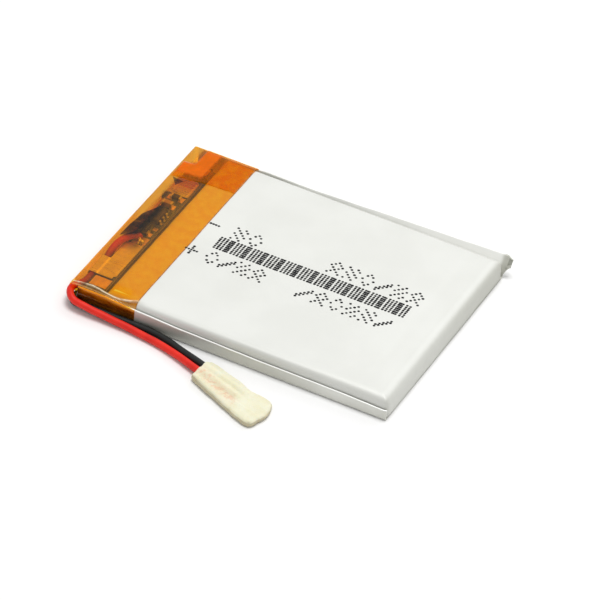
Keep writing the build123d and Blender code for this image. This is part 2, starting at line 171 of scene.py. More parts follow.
# ---- materials --------------------------------------------------------------------------
class Graph:
    """Node graph of one material. Texture coordinates are the helper's millimetres."""

    def __init__(self, name):
        self.material = bpy.data.materials.new(name)
        self.material.use_nodes = True
        self.tree = self.material.node_tree
        self.tree.nodes.clear()
        self.out = self.node("ShaderNodeOutputMaterial")
        coords = self.node("ShaderNodeTexCoord")
        scaled = self.node("ShaderNodeVectorMath", {"operation": "MULTIPLY_ADD"})
        self.mm = self.fill(scaled, coords.outputs["Object"], (1000, 1000, 1000),
                            (CENTRE_X, CENTRE_Y, 0))

    def node(self, kind, props=None, **inputs):
        node = self.tree.nodes.new(kind)
        for key, value in (props or {}).items():
            setattr(node, key, value)
        for key, value in inputs.items():
            if value is not None:
                self.put(node.inputs[key.replace("_", " ")], value)
        return node

    def put(self, socket, value):
        if isinstance(value, bpy.types.NodeSocket):
            self.tree.links.new(value, socket)
        elif isinstance(value, tuple) and len(value) == 3 and socket.type == "RGBA":
            socket.default_value = (*value, 1)
        else:
            socket.default_value = value

    def fill(self, node, *values):
        for socket, value in zip(node.inputs, values):
            self.put(socket, value)
        return node.outputs[0]

    def shader(self, kind, **inputs):
        return self.node("ShaderNodeBsdf" + kind, **inputs).outputs[0]

    def mix_shader(self, factor, first, second):
        return self.fill(self.node("ShaderNodeMixShader"), factor, first, second)

    def attribute(self, name):
        return self.node("ShaderNodeAttribute", {"attribute_name": name}).outputs["Fac"]

    def stretch(self, sx, sy, sz, turn=0.0):
        """Coordinates scaled along each axis and turned about z by degrees."""
        return self.node("ShaderNodeMapping", Vector=self.mm, Scale=(sx, sy, sz),
                         Rotation=(0, 0, math.radians(turn))).outputs[0]

    def noise(self, size, detail=3.0, rough=0.5, vector=None):
        return self.node("ShaderNodeTexNoise", Vector=vector or self.mm, Scale=1.0 / size,
                         Detail=detail, Roughness=rough).outputs[0]

    def math(self, op, a, b=0.0, clamp=False):
        return self.fill(self.node("ShaderNodeMath", {"operation": op, "use_clamp": clamp}), a, b)

    def add(self, total, *others):
        for value in others:
            total = self.math("ADD", total, value)
        return total

    def mul(self, product, *others):
        for value in others:
            product = self.math("MULTIPLY", product, value)
        return product

    def sub(self, a, b):
        return self.math("SUBTRACT", a, b)

    def span(self, value, start, end, lo=0.0, hi=1.0):
        """Smooth step from lo at start to hi at end."""
        return self.node("ShaderNodeMapRange", {"interpolation_type": "SMOOTHSTEP"}, Value=value,
                         From_Min=start, From_Max=end, To_Min=lo, To_Max=hi).outputs[0]

    def spread(self, value, lo=0.0, hi=1.0):
        """The usual reach of a noise, widened to lo..hi."""
        return self.span(value, 0.3, 0.7, lo, hi)

    def window(self, value, rise, fall):
        """1 between two soft limits."""
        return self.mul(self.span(value, *rise), self.span(value, *fall))

    def blend(self, factor, a, b):
        node = self.node("ShaderNodeMix", {"data_type": "RGBA"})
        for index, value in ((0, factor), (6, a), (7, b)):
            self.put(node.inputs[index], value)
        return node.outputs[2]

    def xyz(self, vector=None):
        node = self.node("ShaderNodeSeparateXYZ")
        self.fill(node, vector or self.mm)
        return node.outputs

    def bump(self, height, depth, strength, normal=None):
        """Surface relief; depth is in mm."""
        return self.node("ShaderNodeBump", Height=height, Strength=strength,
                         Distance=depth * 0.001, Normal=normal).outputs[0]

    def principled(self, color, metallic, rough, normal, **more):
        """Put a principled shader on the surface and return the material."""
        return self.surface(self.shader("Principled", Base_Color=color, Metallic=metallic,
                                        Roughness=rough, Normal=normal, **more))

    def surface(self, shader):
        self.tree.links.new(shader, self.out.inputs["Surface"])
        return self.material


def times(color, factors):
    return tuple(c * k for c, k in zip(color, factors))


def film_material(name, light, dark, rough, metal):
    """Laminate film: brushed and faintly scratched, with painted shade on the end wall, the near
    seal and the corner opening, and painted light on the near rim and the far seal.
    """
    g = Graph(name)
    x, y, z = g.xyz()
    broad = g.noise(7.0)
    fine = g.noise(0.16, detail=4.0, rough=0.6)
    rolled = g.noise(0.5, rough=0.6, vector=g.stretch(0.12, 1.6, 1.0))
    color = g.blend(g.spread(broad), dark, light)
    roughness = g.add(g.spread(fine, rough - 0.05, rough + 0.05),
                      g.span(broad, 0.35, 0.65, -0.03, 0.03))
    scratches = g.noise(0.35, detail=2.0, vector=g.stretch(0.05, 1.3, 1.0, turn=24))
    relief = g.add(g.mul(fine, 0.6), g.mul(rolled, 0.5))
    relief = g.sub(relief, g.mul(g.span(scratches, 0.72, 0.78), 0.3))
    normal = g.bump(relief, depth=0.004, strength=0.45)
    normal = g.bump(g.noise(2.6, detail=2.0), depth=0.04, strength=0.06, normal=normal)
    # painted shade on the end wall, stronger towards the far side
    end = g.mul(g.span(x, 47.8, 48.9), g.span(y, 6.0, 36.0, 0.26, 0.56))
    color = g.blend(end, color, (0.42, 0.42, 0.355))
    # painted shade on the outer face of the near side seal: darker towards the floor and along its
    # middle
    side = g.add(g.span(z, 1.7, 0.5, 0.0, 0.18),
                 g.window(x, (9.5, 13.0, 0.0, 0.36), (42.0, 30.0)))
    color = g.blend(g.mul(side, g.span(y, 0.13, 0.08)), color, (0.36, 0.355, 0.29))
    # painted highlight on the upper rim of the near side seal, and painted shade on the strip
    # beside it
    color = g.blend(g.attribute("rim"), color, (0.97, 0.975, 0.955))
    brow = g.window(y, (1.7, 0.7), (0.38, 0.44))
    color = g.blend(g.mul(brow, 0.24), color, (0.46, 0.462, 0.42))
    # painted shade: the inside of the corner opening is made nearly black
    inside = g.mul(g.span(x, 2.2, 1.0), g.span(y, 4.0, 2.4))
    low = g.math("MAXIMUM", g.span(z, 0.9, 0.6), g.mul(g.span(y, 0.03, 0.07), g.span(z, 2.8, 2.6)))
    color = g.blend(g.mul(inside, low), color, (0.03, 0.026, 0.02))
    # painted light on the inner face of the upright far seal: made lighter and less metallic
    flange = g.mul(g.mul(g.span(y, 36.3, 36.5), g.span(z, 1.2, 1.8)),
                   g.window(x, (12.0, 20.0), (48.6, 47.9)))
    color = g.blend(g.mul(flange, 0.62), color, (0.97, 0.975, 0.95))
    metallic = g.mul(metal, g.sub(1.0, g.mul(flange, 0.9)))
    return g.principled(color, metallic, roughness, normal, Coat_Weight=0.06,
                        Coat_Roughness=0.3, Specular_IOR_Level=0.45)


def pocket_shade_mask(g, x, y, z, streak):
    """Painted shade where the tape hangs clear of the board: beside the chip, and at the far pad.
    """
    edge_x = g.add(g.span(y, 13.35, 15.54, 0.46, 0.54), g.span(y, 15.54, 18.51, 0.0, 0.30),
                   g.span(y, 18.51, 21.95, 0.0, 1.33))
    beside_chip = g.mul(g.span(g.sub(x, edge_x), 0.0, 0.14), g.span(x, 3.4, 2.2),
                        g.span(g.sub(y, g.mul(x, 0.6)), 12.65, 13.05), g.span(y, 23.2, 21.7))

    def sloped(slope):
        return g.add(y, g.mul(g.sub(x, 0.33), slope))

    # triangle between three slanting lines
    third = g.sub(x, g.mul(g.sub(y, 27.04), 0.514))
    far_pad = g.mul(g.span(sloped(1.268), 28.93, 29.10), g.span(sloped(0.232), 28.93, 28.83),
                    g.span(third, 1.82, 1.62))
    return g.mul(g.math("MAXIMUM", beside_chip, g.mul(far_pad, 0.75)), g.span(z, 2.35, 2.6),
                 g.span(streak, 0.30, 0.62, 0.62, 0.92))


def tape_material(name, tint, haze_color, haze, rough=0.10, pocket=False, gloss=1.0):
    """Clear tinted tape; `tint` is what one face lets through, `haze` its milky share."""
    g = Graph(name)
    x, y, z = g.xyz()
    front = g.sub(1.0, g.node("ShaderNodeNewGeometry").outputs["Backfacing"])
    wrinkles = g.noise(1.5, vector=g.stretch(1.0, 0.45, 1.0, turn=35))
    fine = g.noise(0.12, detail=2.0)
    normal = g.bump(wrinkles, depth=0.05, strength=0.30)
    normal = g.bump(fine, depth=0.002, strength=0.5, normal=normal)
    cloud = g.noise(1.1, rough=0.6)
    clear = g.blend(g.spread(cloud), tint, times(tint, (1.0, 0.955, 0.80)))
    # painted shade: where the dim attribute is set, the tint is darkened in streaks
    streak = g.noise(0.9, rough=0.6, vector=g.stretch(0.35, 1.0, 1.6, turn=12))
    dim = g.mul(g.attribute("dim"), g.span(streak, 0.34, 0.66, 0.35, 1.0))
    seen = g.blend(dim, clear, times(tint, (0.62, 0.52, 0.30)))
    amount = g.mul(haze, g.span(cloud, 0.3, 0.75, 0.6, 1.5))
    amount = g.math("ADD", amount, g.mul(g.attribute("stuck"), 0.55), clamp=True)
    if pocket:
        # painted shade in the pocket: the tint is darkened and the haze taken away
        pocket_shade = pocket_shade_mask(g, x, y, z, streak)
        seen = g.blend(pocket_shade, seen, (0.19, 0.135, 0.05))
        amount = g.mul(amount, g.sub(1.0, pocket_shade))
    milky = g.mix_shader(0.35, g.shader("Diffuse", Color=haze_color, Normal=normal),
                         g.shader("Translucent", Color=haze_color))
    sheet = g.mix_shader(amount, g.shader("Transparent", Color=seen), milky)
    fresnel = g.node("ShaderNodeFresnel", IOR=1.38, Normal=normal).outputs[0]
    glossy = g.shader("Glossy", Color=(1, 1, 1, 1), Normal=normal,
                      Roughness=g.spread(fine, rough * 0.8, rough * 1.4))
    # the hollow next to the crease is rubbed matt
    matt = g.mul(g.window(x, (5.2, 5.8), (9.2, 8.2)), g.window(y, (0.9, 1.2), (3.2, 2.4)))
    shine = g.mul(front, gloss, g.sub(1.0, g.mul(matt, 0.55)))
    coated = g.mix_shader(g.mul(fresnel, shine), sheet, glossy)
    # painted highlight along the sharp fold: a broken whitish line
    broken = g.span(g.noise(1.3, rough=0.6), 0.32, 0.62, 0.30, 1.0)
    crease_highlight = g.math("MULTIPLY", g.attribute("crease"), broken, clamp=True)
    return g.surface(g.mix_shader(crease_highlight, coated, g.shader("Diffuse", Color=(0.95, 0.86, 0.66))))


def metal_material(name, light, dark, rough=0.3, along=(0.08, 1.0, 1.0), size=0.25, depth=0.004,
                   spots=0.0):
    """Metal with a grain stretched by `along`, `size` mm wide, and optional dark spots."""
    g = Graph(name)
    grain = g.noise(size, detail=4.0, rough=0.6, vector=g.stretch(*along))
    cloud = g.noise(1.4, rough=0.55)
    color = g.blend(g.spread(cloud), dark, light)
    if spots:
        mask = g.mul(g.span(g.noise(0.35, detail=2.0), 0.6, 0.7), spots)
        color = g.blend(mask, color, tuple(0.45 * c for c in dark))
    normal = g.bump(grain, depth, strength=0.7)
    normal = g.bump(cloud, depth=0.05, strength=0.25, normal=normal)
    return g.principled(color, 1.0, g.spread(grain, rough - 0.07, rough + 0.10), normal)


def plastic_material(name, light, dark, rough, size, depth, cloud=2.0, **more):
    """Matt or glossy non-metal; `size` and `depth` describe its grain, `cloud` its mottling."""
    g = Graph(name)
    fine = g.noise(size, detail=4.0, rough=0.6)
    color = g.blend(g.spread(g.noise(cloud)), dark, light)
    return g.principled(color, 0.0, g.spread(fine, rough - 0.05, rough + 0.07),
                        g.bump(fine, depth, strength=0.7), **more)


def chip_material(name, dark, light, x0, x1):
    """Chip component: a fired body with a plated cap at each end."""
    cap, cap_edge = 0.30, 0.03
    g = Graph(name)
    x = g.xyz()[0]
    edge = g.add(x, g.mul(g.sub(g.noise(0.25, detail=2.0), 0.5), 0.10))
    ends = g.math("MAXIMUM", g.span(edge, x0 + cap, x0 + cap - cap_edge),
                  g.span(edge, x1 - cap, x1 - cap + cap_edge))
    grain = g.noise(0.10, detail=4.0, rough=0.6)
    color = g.blend(ends, g.blend(g.spread(grain), dark, light), (0.66, 0.64, 0.60))
    normal = g.bump(g.add(grain, g.mul(ends, 2.0)), depth=0.010, strength=0.6)
    return g.principled(color, ends, g.spread(grain, 0.30, 0.45), normal)


def board_material(name):
    """Solder mask over copper tracks: the tracks stand up slightly and read lighter."""
    g = Graph(name)
    x, y, z = g.xyz()
    bent_x = g.add(x, g.mul(g.math("SINE", g.mul(y, 1.1)), 0.22))
    from_track = g.math("ABSOLUTE", g.sub(g.math("FRACT", g.mul(bent_x, 1.45)), 0.5))
    gaps = g.span(g.math("FRACT", g.mul(y, 0.19)), 0.55, 0.57, 1.0, 0.0)
    tracks = g.mul(g.span(from_track, 0.16, 0.19, 1.0, 0.0), gaps)
    weave = g.add(g.math("SINE", g.mul(x, 16.0)), g.math("SINE", g.mul(y, 16.0)))
    fine = g.noise(0.2)
    color = g.blend(g.spread(fine), (0.045, 0.070, 0.030), (0.065, 0.092, 0.042))
    color = g.blend(tracks, color, (0.13, 0.17, 0.075))
    # bare edge of the board
    side = g.mul(g.span(z, 1.57, 1.585, 1.0, 0.0), g.span(z, 1.02, 1.04))
    color = g.blend(side, color, (0.16, 0.17, 0.07))
    normal = g.bump(g.add(g.mul(tracks, 1.0), g.mul(weave, 0.05)), depth=0.03, strength=0.6)
    return g.principled(color, 0.0, g.spread(fine, 0.22, 0.34), normal, Coat_Weight=0.4,
                        Coat_Roughness=0.2)


def paper_material(name):
    """Crepe masking tape: fine ridges across the tape, wrapped layers, and red showing through."""
    g = Graph(name)
    x, y, z = g.xyz()
    along = g.add(g.mul(x, float(ALONG[0])), g.mul(y, float(ALONG[1])))
    across = g.add(g.mul(x, float(ACROSS[0])), g.mul(y, float(ACROSS[1])))
    sway = g.noise(1.3)
    ridges = g.math("SINE", g.add(g.mul(along, 17.0), g.mul(sway, 22.0)))
    ridges = g.mul(ridges, g.spread(g.noise(0.6, detail=2.0), 0.35, 1.0))
    fibre = g.noise(0.16, detail=4.0, rough=0.65)
    color = g.blend(g.spread(g.noise(2.2)), (0.74, 0.705, 0.49), (0.78, 0.765, 0.59))
    color = g.blend(g.span(fibre, 0.35, 0.75, 0.0, 0.25), color, (0.84, 0.82, 0.70))
    # red insulation close under the paper
    line = g.add(g.sub(across, 5.55), g.mul(along, 0.14))
    near = g.span(g.math("ABSOLUTE", line), 0.2, 1.25, 1.0, 0.0)
    reach = g.window(along, (22.5, 23.4), (30.2, 32.4, 1.0, 0.0))
    blotch = g.span(g.noise(0.62, rough=0.6), 0.42, 0.66)
    red = g.mul(near, reach, g.span(blotch, 0.0, 1.0, 0.22, 0.85))
    color = g.blend(g.mul(red, 0.62), color, (0.74, 0.36, 0.21))
    # edges of the wrapped layers on the sides
    layers = g.math("SINE", g.add(g.mul(z, 26.0), g.mul(sway, 7.0)))
    facing = g.xyz(g.node("ShaderNodeNewGeometry").outputs["Normal"])
    upright = g.span(facing[2], 0.25, 0.7, 1.0, 0.0)
    color = g.blend(g.mul(upright, g.span(layers, -1.0, 1.0, 0.55, 0.95)), color,
                    (0.50, 0.43, 0.27))
    normal = g.bump(g.add(g.mul(ridges, 0.5), g.mul(fibre, 1.1)), depth=0.045, strength=0.55)
    normal = g.bump(g.mul(layers, upright), depth=0.03, strength=0.8, normal=normal)
    return g.principled(color, 0.0, 0.82, normal, Subsurface_Weight=0.25,
                        Subsurface_Scale=0.0004, Subsurface_Radius=(1.0, 0.75, 0.5))


def wire_material(name, light, dark, rough):
    """Vinyl insulation with scuffs."""
    g = Graph(name)
    x, y, z = g.xyz()
    fine = g.noise(0.22, detail=4.0, rough=0.6)
    broad = g.noise(1.8)
    color = g.blend(g.spread(broad), dark, light)
    scuffs = g.span(g.noise(0.5, rough=0.65, vector=g.stretch(0.5, 1.6, 1.2)), 0.66, 0.74)
    normal = g.bump(fine, depth=0.008, strength=0.5)
    normal = g.bump(broad, depth=0.06, strength=0.3, normal=normal)
    roughness = g.add(g.spread(fine, rough - 0.05, rough + 0.07), g.mul(scuffs, 0.15))
    # painted shade: the length inside the head is darkened
    head_shade = g.mul(g.span(y, 0.9, 2.2), g.span(z, 2.45, 1.4, 0.35, 0.85))
    color = g.blend(head_shade, color, (0.10, 0.016, 0.012))
    return g.principled(color, 0.0, roughness, normal, Coat_Weight=0.12, Coat_Roughness=0.25,
                        Specular_IOR_Level=0.32)


FILM = film_material("film_face", light=(0.728, 0.735, 0.702), dark=(0.700, 0.707, 0.672),
                     rough=0.52, metal=0.20)
FOLD_FILM = film_material("film_fold", light=(0.74, 0.742, 0.70), dark=(0.68, 0.682, 0.635),
                          rough=0.42, metal=0.38)
TAIL_FILM = film_material("film_ear", light=(0.52, 0.53, 0.48), dark=(0.26, 0.27, 0.24),
                          rough=0.40, metal=0.5)
HEAD_TAPE = tape_material("amber_tape", tint=(0.99, 0.785, 0.18),
                          haze_color=(0.84, 0.475, 0.035), haze=0.035, pocket=True)
TAPE_EDGE = tape_material("amber_tape_edge", tint=(0.80, 0.46, 0.14),
                          haze_color=(0.50, 0.20, 0.02), haze=0.35, rough=0.45, gloss=0.1)
CORNER_TAPE = tape_material("amber_tape_second", tint=(1.0, 0.915, 0.30),
                            haze_color=(0.97, 0.24, 0.006), haze=0.13, gloss=0.3)
RED_VINYL = wire_material("red_vinyl", light=(0.78, 0.018, 0.005), dark=(0.66, 0.011, 0.003),
                          rough=0.54)
BLACK_VINYL = wire_material("black_vinyl", light=(0.007, 0.009, 0.008),
                            dark=(0.004, 0.005, 0.005), rough=0.50)
STRANDS = metal_material("tinned_copper", light=(0.80, 0.78, 0.74), dark=(0.62, 0.59, 0.54),
                         rough=0.28)
PAPER = paper_material("crepe_paper")
INK = plastic_material("print_ink", light=(0.012, 0.012, 0.013), dark=(0.018, 0.018, 0.019),
                       rough=0.7, size=0.12, depth=0.003, cloud=0.8, Specular_IOR_Level=0.15)


# ---- pouch --------------------------------------------------------------------------------
# dents in the cup face: x, y, radius, depth
DENTS = [(40.2, 26.4, 0.45, 0.03), (22.6, 30.5, 0.35, 0.025), (33.5, 7.4, 0.5, 0.02),
         (29.5, 33.0, 0.30, 0.02)]
# cup wall from the bottom up: height and inset on the long sides, at the bottom end and at the
# shoulder facing the board, then the corner radius
CUP_RINGS = [
    (0.10, 0.25, 0.03, 0.35, 0.20, -0.45, 0.66),
    (0.16, 0.10, 0.10, 0.12, 0.22, -0.43, 0.66),
    (0.30, 0.00, 0.30, 0.03, 0.35, -0.38, 0.66),
    (1.20, 0.00, 0.90, 0.00, 0.90, -0.22, 0.66),
    (1.90, 0.00, 1.50, 0.02, 1.50, -0.06, 0.63),
    (2.25, 0.02, 2.10, 0.07, 2.10, 0.08, 0.58),
    (2.60, 0.09, 2.55, 0.17, 2.50, 0.17, 0.50),
    (2.90, 0.23, 2.88, 0.34, 2.85, 0.28, 0.40),
    (3.12, 0.45, 3.10, 0.57, 3.10, 0.43, 0.28),
    (3.27, 0.75, 3.26, 0.90, 3.28, 0.66, 0.14),
    (3.36, 1.15, 3.36, 1.35, 3.37, 1.00, 0.00),
]
CUP_COLUMNS, CUP_ROWS, CORNER_STEPS = 121, 96, 7


def cup_top(x, y):
    """Height of the cup face: nearly flat, pulled down a little along its edges."""
    z = 3.392 + 0.030 * waver(x, y, 0, 12, 1) + 0.010 * waver(x, y, 0, 4.5, 2)
    z -= 0.055 * math.exp(-max(0.0, y - 1.1) / 1.5)
    z -= 0.050 * math.exp(-max(0.0, 35.9 - y) / 1.5)
    z -= 0.060 * math.exp(-max(0.0, 46.9 - x) / 1.6)
    # shallow print of the folded winding's end under the film
    end_fold = (x - 44.6 - 0.25 * waver(0, y, 0, 9, 3)) / 0.7
    z -= 0.030 * math.exp(-end_fold ** 2) * ramp(1.5, 5, y)
    side_fold = (y - 3.4 - 0.25 * waver(x, 0, 0, 9, 4)) / 0.6
    z -= 0.030 * math.exp(-side_fold ** 2) * ramp(12, 20, x)
    for dent_x, dent_y, radius, depth in DENTS:
        z -= depth * math.exp(-((x - dent_x) ** 2 + (y - dent_y) ** 2) / (radius * radius))
    return z


def cup_limits(level):
    """Shoulder x, end x, near y and far y of one ring."""
    _, side_inset, _, end_inset, _, shoulder_inset, _ = CUP_RINGS[level]
    return (CUP_X[0] + shoulder_inset, CUP_X[1] - end_inset, CUP_Y[0] + side_inset,
            CUP_Y[1] - side_inset)


def cup_ring(level):
    x0, x1, y0, y1 = cup_limits(level)
    side_z, _, end_z, _, shoulder_z, _, radius = CUP_RINGS[level]
    left, right, near, far = x0 + radius, x1 - radius, y0 + radius, y1 - radius
    # straight run: points, start, end, height; then the corner: centre, height after it
    runs = [(CUP_COLUMNS, (left, y0), (right, y0), side_z, (right, near), end_z),
            (CUP_ROWS, (x1, near), (x1, far), end_z, (right, far), side_z),
            (CUP_COLUMNS, (right, y1), (left, y1), side_z, (left, far), shoulder_z),
            (CUP_ROWS, (x0, far), (x0, near), shoulder_z, (left, near), side_z)]
    points = []
    for turn, (count, start, end, z, centre, next_z) in enumerate(runs):
        for i in range(count):
            t = i / (count - 1)
            points.append([mix(start[0], end[0], t), mix(start[1], end[1], t), z])
        for i in range(1, CORNER_STEPS):
            t = i / CORNER_STEPS
            angle = math.radians(90 * turn - 90 + 90 * i / CORNER_STEPS)
            points.append([centre[0] + radius * math.cos(angle),
                           centre[1] + radius * math.sin(angle), mix(z, next_z, t)])
    follow = ramp(2.0, 3.3, side_z)
    for p in points:
        if level == len(CUP_RINGS) - 1:
            p[2] = cup_top(p[0], p[1])
            continue
        p[2] += follow * (cup_top(p[0], p[1]) - 3.385) * 0.8
        if 2 <= level <= 8:
            dent = 0.035 * waver(*p, 2.2, 5) + 0.02 * waver(*p, 0.8, 6)
            if p[0] > CUP_X[1] - 3:
                p[0] += dent * 1.3
            elif p[0] < CUP_X[0] + 1.5:
                p[0] += dent
            else:
                p[1] += dent * 0.5
    return points


def pouch_body():
    verts = []
    for level in range(len(CUP_RINGS)):
        ring = cup_ring(level)
        verts += ring
    count = len(ring)
    faces = loft_faces(0, len(CUP_RINGS), count)
    faces.append(tuple(range(count - 1, -1, -1)))
    faces += grid_faces(len(verts), CUP_COLUMNS, CUP_ROWS)
    x0, x1, y0, y1 = cup_limits(-1)
    for j in range(CUP_ROWS):
        for i in range(CUP_COLUMNS):
            x, y = mix(x0, x1, i / (CUP_COLUMNS - 1)), mix(y0, y1, j / (CUP_ROWS - 1))
            verts.append([x, y, cup_top(x, y)])
    # the near edge is rounded tighter just past the tape and opens out towards the bottom end
    for v in verts:
        inset = v[1] - CUP_Y[0]
        tighten = 0.6 * ramp(9.9, 11.2, v[0]) * ramp(46.0, 27.0, v[0])
        v[1] = CUP_Y[0] + inset * (1 - tighten * math.exp(-(inset / 1.6) ** 2))
    # terrace: the flat top seal under the board, raised in two places
    terrace_x = [0.5 + 4.65 * i / 16 for i in range(17)]
    terrace_y = [0.34 + 36.32 * j / 60 for j in range(61)]
    faces += plate_faces(len(verts), len(terrace_x), len(terrace_y))
    verts += [[x, y, 0.125] for y in terrace_y for x in terrace_x]
    for y in terrace_y:
        lift = sum(0.15 * ramp(3.3, 2.7, abs(y - raised_y)) for raised_y in (7.2, 28.8))
        for x in terrace_x:
            verts.append([x, y, 0.235 + lift + 0.008 * waver(x, y, 0, 1.3, 7)])
    build("pouch_cup_skin", verts, faces, FILM, "cell", "laminate_film", ("pouch_cup",),
          merge=1e-4, sharp=60)


# upper edge of the near side seal: x stations and heights
NEAR_RIM = ([0.5, 5.4, 6.8, 8.0, 9.8, 12.5, 14.5, 17.0, 23.0, 29.0, 42.0, 47.0, 48.9],
            [2.86, 2.86, 2.72, 2.56, 2.52, 2.44, 2.30, 2.17, 2.08, 1.95, 1.92, 1.78, 1.74])
# near side seal in section, (y, z): inner edge, over the rim, down the outside, underneath
SEAL_OUTER = [(0.262, 3.04), (0.255, 3.12), (0.235, 3.158), (0.175, 3.17), (0.112, 3.155),
              (0.080, 3.10), (0.068, 2.9), (0.055, 2.2), (0.050, 1.2), (0.055, 0.55),
              (0.085, 0.26), (0.150, 0.11), (0.260, 0.025), (FOLD_RADIUS_Y, 0.0)]
SEAL_INNER = [(0.36, 0.16), (0.29, 0.30), (0.264, 0.9), (0.262, 1.7), (0.262, 2.4)]
NEAR, FAR, FLAT = 0, 1, 2


def rim_height(x, side):
    if side == FAR:
        return (mix(2.86, 3.02, ramp(9.6, 12.0, x)) + 0.03 * waver(x, 9.0, 0, 3.0, 8) +
                0.02 * waver(x, 5.0, 0, 0.9, 9))
    return (float(np.interp(x, *NEAR_RIM)) + 0.02 * waver(x, 0.0, 0, 3.0, 8) +
            0.012 * waver(x, 0.0, 0, 0.9, 9))


def far_lean(x, z):
    """The far side seal stands away from the cup towards the bottom end."""
    up = max(0.0, (z - 0.35) / 2.65)
    return 0.0455 * max(0.0, x - 18.0) * ramp(16.0, 22.0, x) * up ** 1.25


def tray_point(x, y, z, side, outer):
    """Place one point of the tray's section at station x."""
    if side == NEAR and x < 1.1:
        # the near wall starts past the corner opening
        z = 0.045 * z if outer else 0.12 + 0.01 * z
    elif side != FLAT and z > 0.5:
        z = 0.5 + (z - 0.5) * (rim_height(x, side) - 0.5) / 2.67
        up = (z - 0.5) / 2.6
        if side == NEAR:
            y += 0.03 * waver(x, 0, z, 4.0, 10) * up + 0.012 * waver(x, 0, z, 1.0, 11)
            if x > 48.38:
                y += 0.95 - math.sqrt(max(0.0, 0.95 ** 2 - (x - 48.38) ** 2))
        else:
            y += far_lean(x, z)
            y += 0.05 * waver(x, 3, z, 3.5, 12) * up + 0.012 * waver(x, 0, z, 1.0, 13)
    return [x, y, z]


def tail_points(columns, rows):
    """Tail of the far side seal, crumpled past the bottom end: near face, then far face."""
    points = []
    for face in (-1, 1):
        for j in range(rows + 1):
            for i in range(columns + 1):
                s = i / columns
                x = mix(48.55, 49.85, s)
                low = mix(0.05, 1.75, ramp(0.0, 1.0, s) ** 0.8)
                high = mix(3.02, 2.85, ramp(0.2, 1.0, s) ** 1.3)
                z = mix(low, high, j / rows)
                y = 36.83 + far_lean(mix(48.5, 49.0, s), z)
                y += s * (0.26 * waver(x, 0, z, 0.7, 14) + 0.13 * waver(x, 0, z, 0.33, 15))
                y -= 0.25 * s * s
                half_thickness = 0.118 * (1 - 0.35 * s)
                x += 0.10 * s * waver(0, 0, z, 0.5, 16)
                points.append([x, y + face * half_thickness, z])
    return points


def pouch_tray():
    """Flat cover with both side seals folded up against the cup."""
    under = [(mix(FOLD_RADIUS_Y, WIDTH - FOLD_RADIUS_Y, i / 14), 0.0) for i in range(1, 14)]
    inner = [(mix(36.52, 0.48, i / 14), 0.118) for i in range(15)]
    section = ([(y, z, NEAR) for y, z in SEAL_OUTER] + [(y, z, FLAT) for y, z in under] +
               [(WIDTH - y, z, FAR) for y, z in SEAL_OUTER[::-1] + SEAL_INNER[::-1]] +
               [(y, z, FLAT) for y, z in inner] + [(y, z, NEAR) for y, z in SEAL_INNER])
    stations = list(np.linspace(0.5, 48.1, 150)) + list(np.linspace(48.2, 48.93, 8))
    count = len(section)
    verts = []
    for x in stations:
        for i, (y, z, side) in enumerate(section):
            verts.append(tray_point(x, y, z, side, outer=i < len(SEAL_OUTER)))
    body = len(verts)
    faces = flipped(loft_faces(0, len(stations), count))
    faces.append(tuple(range(count)))
    faces.append(tuple(range(body - 1, body - count - 1, -1)))
    mats = [0] * len(faces)
    columns, rows = 18, 22
    verts += tail_points(columns, rows)
    faces += flipped(plate_faces(body, columns + 1, rows + 1))
    # the tail's outer upper part and its edges have the darker film
    mats += [int(i > 9 and j > 8) for j in range(rows) for i in range(columns) for _ in range(2)]
    mats += [1] * (len(faces) - len(mats))
    # the near seal's upper rim, which the film material paints as a highlight
    rim = [1.0 if i < body and 1 <= i % count <= 5 else 0.0 for i in range(len(verts))]
    build("pouch_cover_skin", verts, faces, [FOLD_FILM, TAIL_FILM], "cell", "laminate_film",
          ("pouch_cover",), face_mats=mats, sharp=70, attributes={"rim": rim})


# ---- tape over the head --------------------------------------------------------------------
# crease along the near side: stations in x, and its y and z there
RIDGE_X = [-0.2, 1.1, 2.9, 4.1, 5.2, 6.5, 7.5, 8.95, 9.8, 10.2]
RIDGE_Y = [0.80, 1.00, 1.00, 0.85, 0.70, 0.52, 0.50, 0.72, 1.00, 1.10]
RIDGE_Z = [2.90, 2.99, 3.17, 3.14, 3.00, 3.02, 3.06, 3.25, 3.44, 3.47]
# lip where the tape turns down the near side: stations in x, and its height
LIP_X = [-0.2, 0.4, 1.2, 5.3, 6.8, 8.05, 9.7, 10.2]
LIP_Z = [2.80, 2.88, 2.95, 2.95, 2.79, 2.64, 2.51, 2.50]
LIP_Y = 0.30                           # y of the near lip; the far one mirrors it
NEAR_COLUMNS = 10                      # columns that follow the crease, before the fixed ones
FIXED_Y = [1.80, *np.linspace(1.80, 35.20, 98)[1:], 35.45, 35.70, 35.95, 36.20, 36.45, 36.70]
ROOF_COLUMNS = NEAR_COLUMNS + len(FIXED_Y)
# values of the attributes on the first columns of the roof; dim is painted shade on the strip
# below the crease, crease a painted highlight along it
ROOF_DIM = [0.0, 0.35, 0.9, 0.3] + [0.0] * (ROOF_COLUMNS - 4)
ROOF_CREASE = [0.12, 0.0, 0.30, 0.85, 0.30] + [0.0] * (ROOF_COLUMNS - 5)
# at the head edge the roof drops and the underside rises, station by station
HEAD_CURL = [(-0.24, 0.16), (-0.10, 0.07), (-0.03, 0.015)]


def roof(x, y):
    """Height of the head tape over the cup and over the board pocket."""
    over = cup_top(max(x, 6.3), min(max(y, 1.6), 35.4)) + 0.045
    low = 2.93 + (x + 0.15) * 0.0835
    low += 0.045 * waver(x, y, 0, 2.4, 20) + 0.020 * waver(x, y, 0, 0.9, 21)
    low += (0.035 * math.sin(2.1 * x + 0.55 * y + 1.2 * waver(x, y, 0, 3, 22)) *
            ramp(0.6, 2.0, x) * ramp(5.6, 4.4, x))
    flat = over + 0.008 * waver(x, y, 0, 1.6, 23)
    return mix(low, flat, ramp(4.4, 6.4, x))


def ridge_y(x):
    return float(np.interp(x, RIDGE_X, RIDGE_Y))


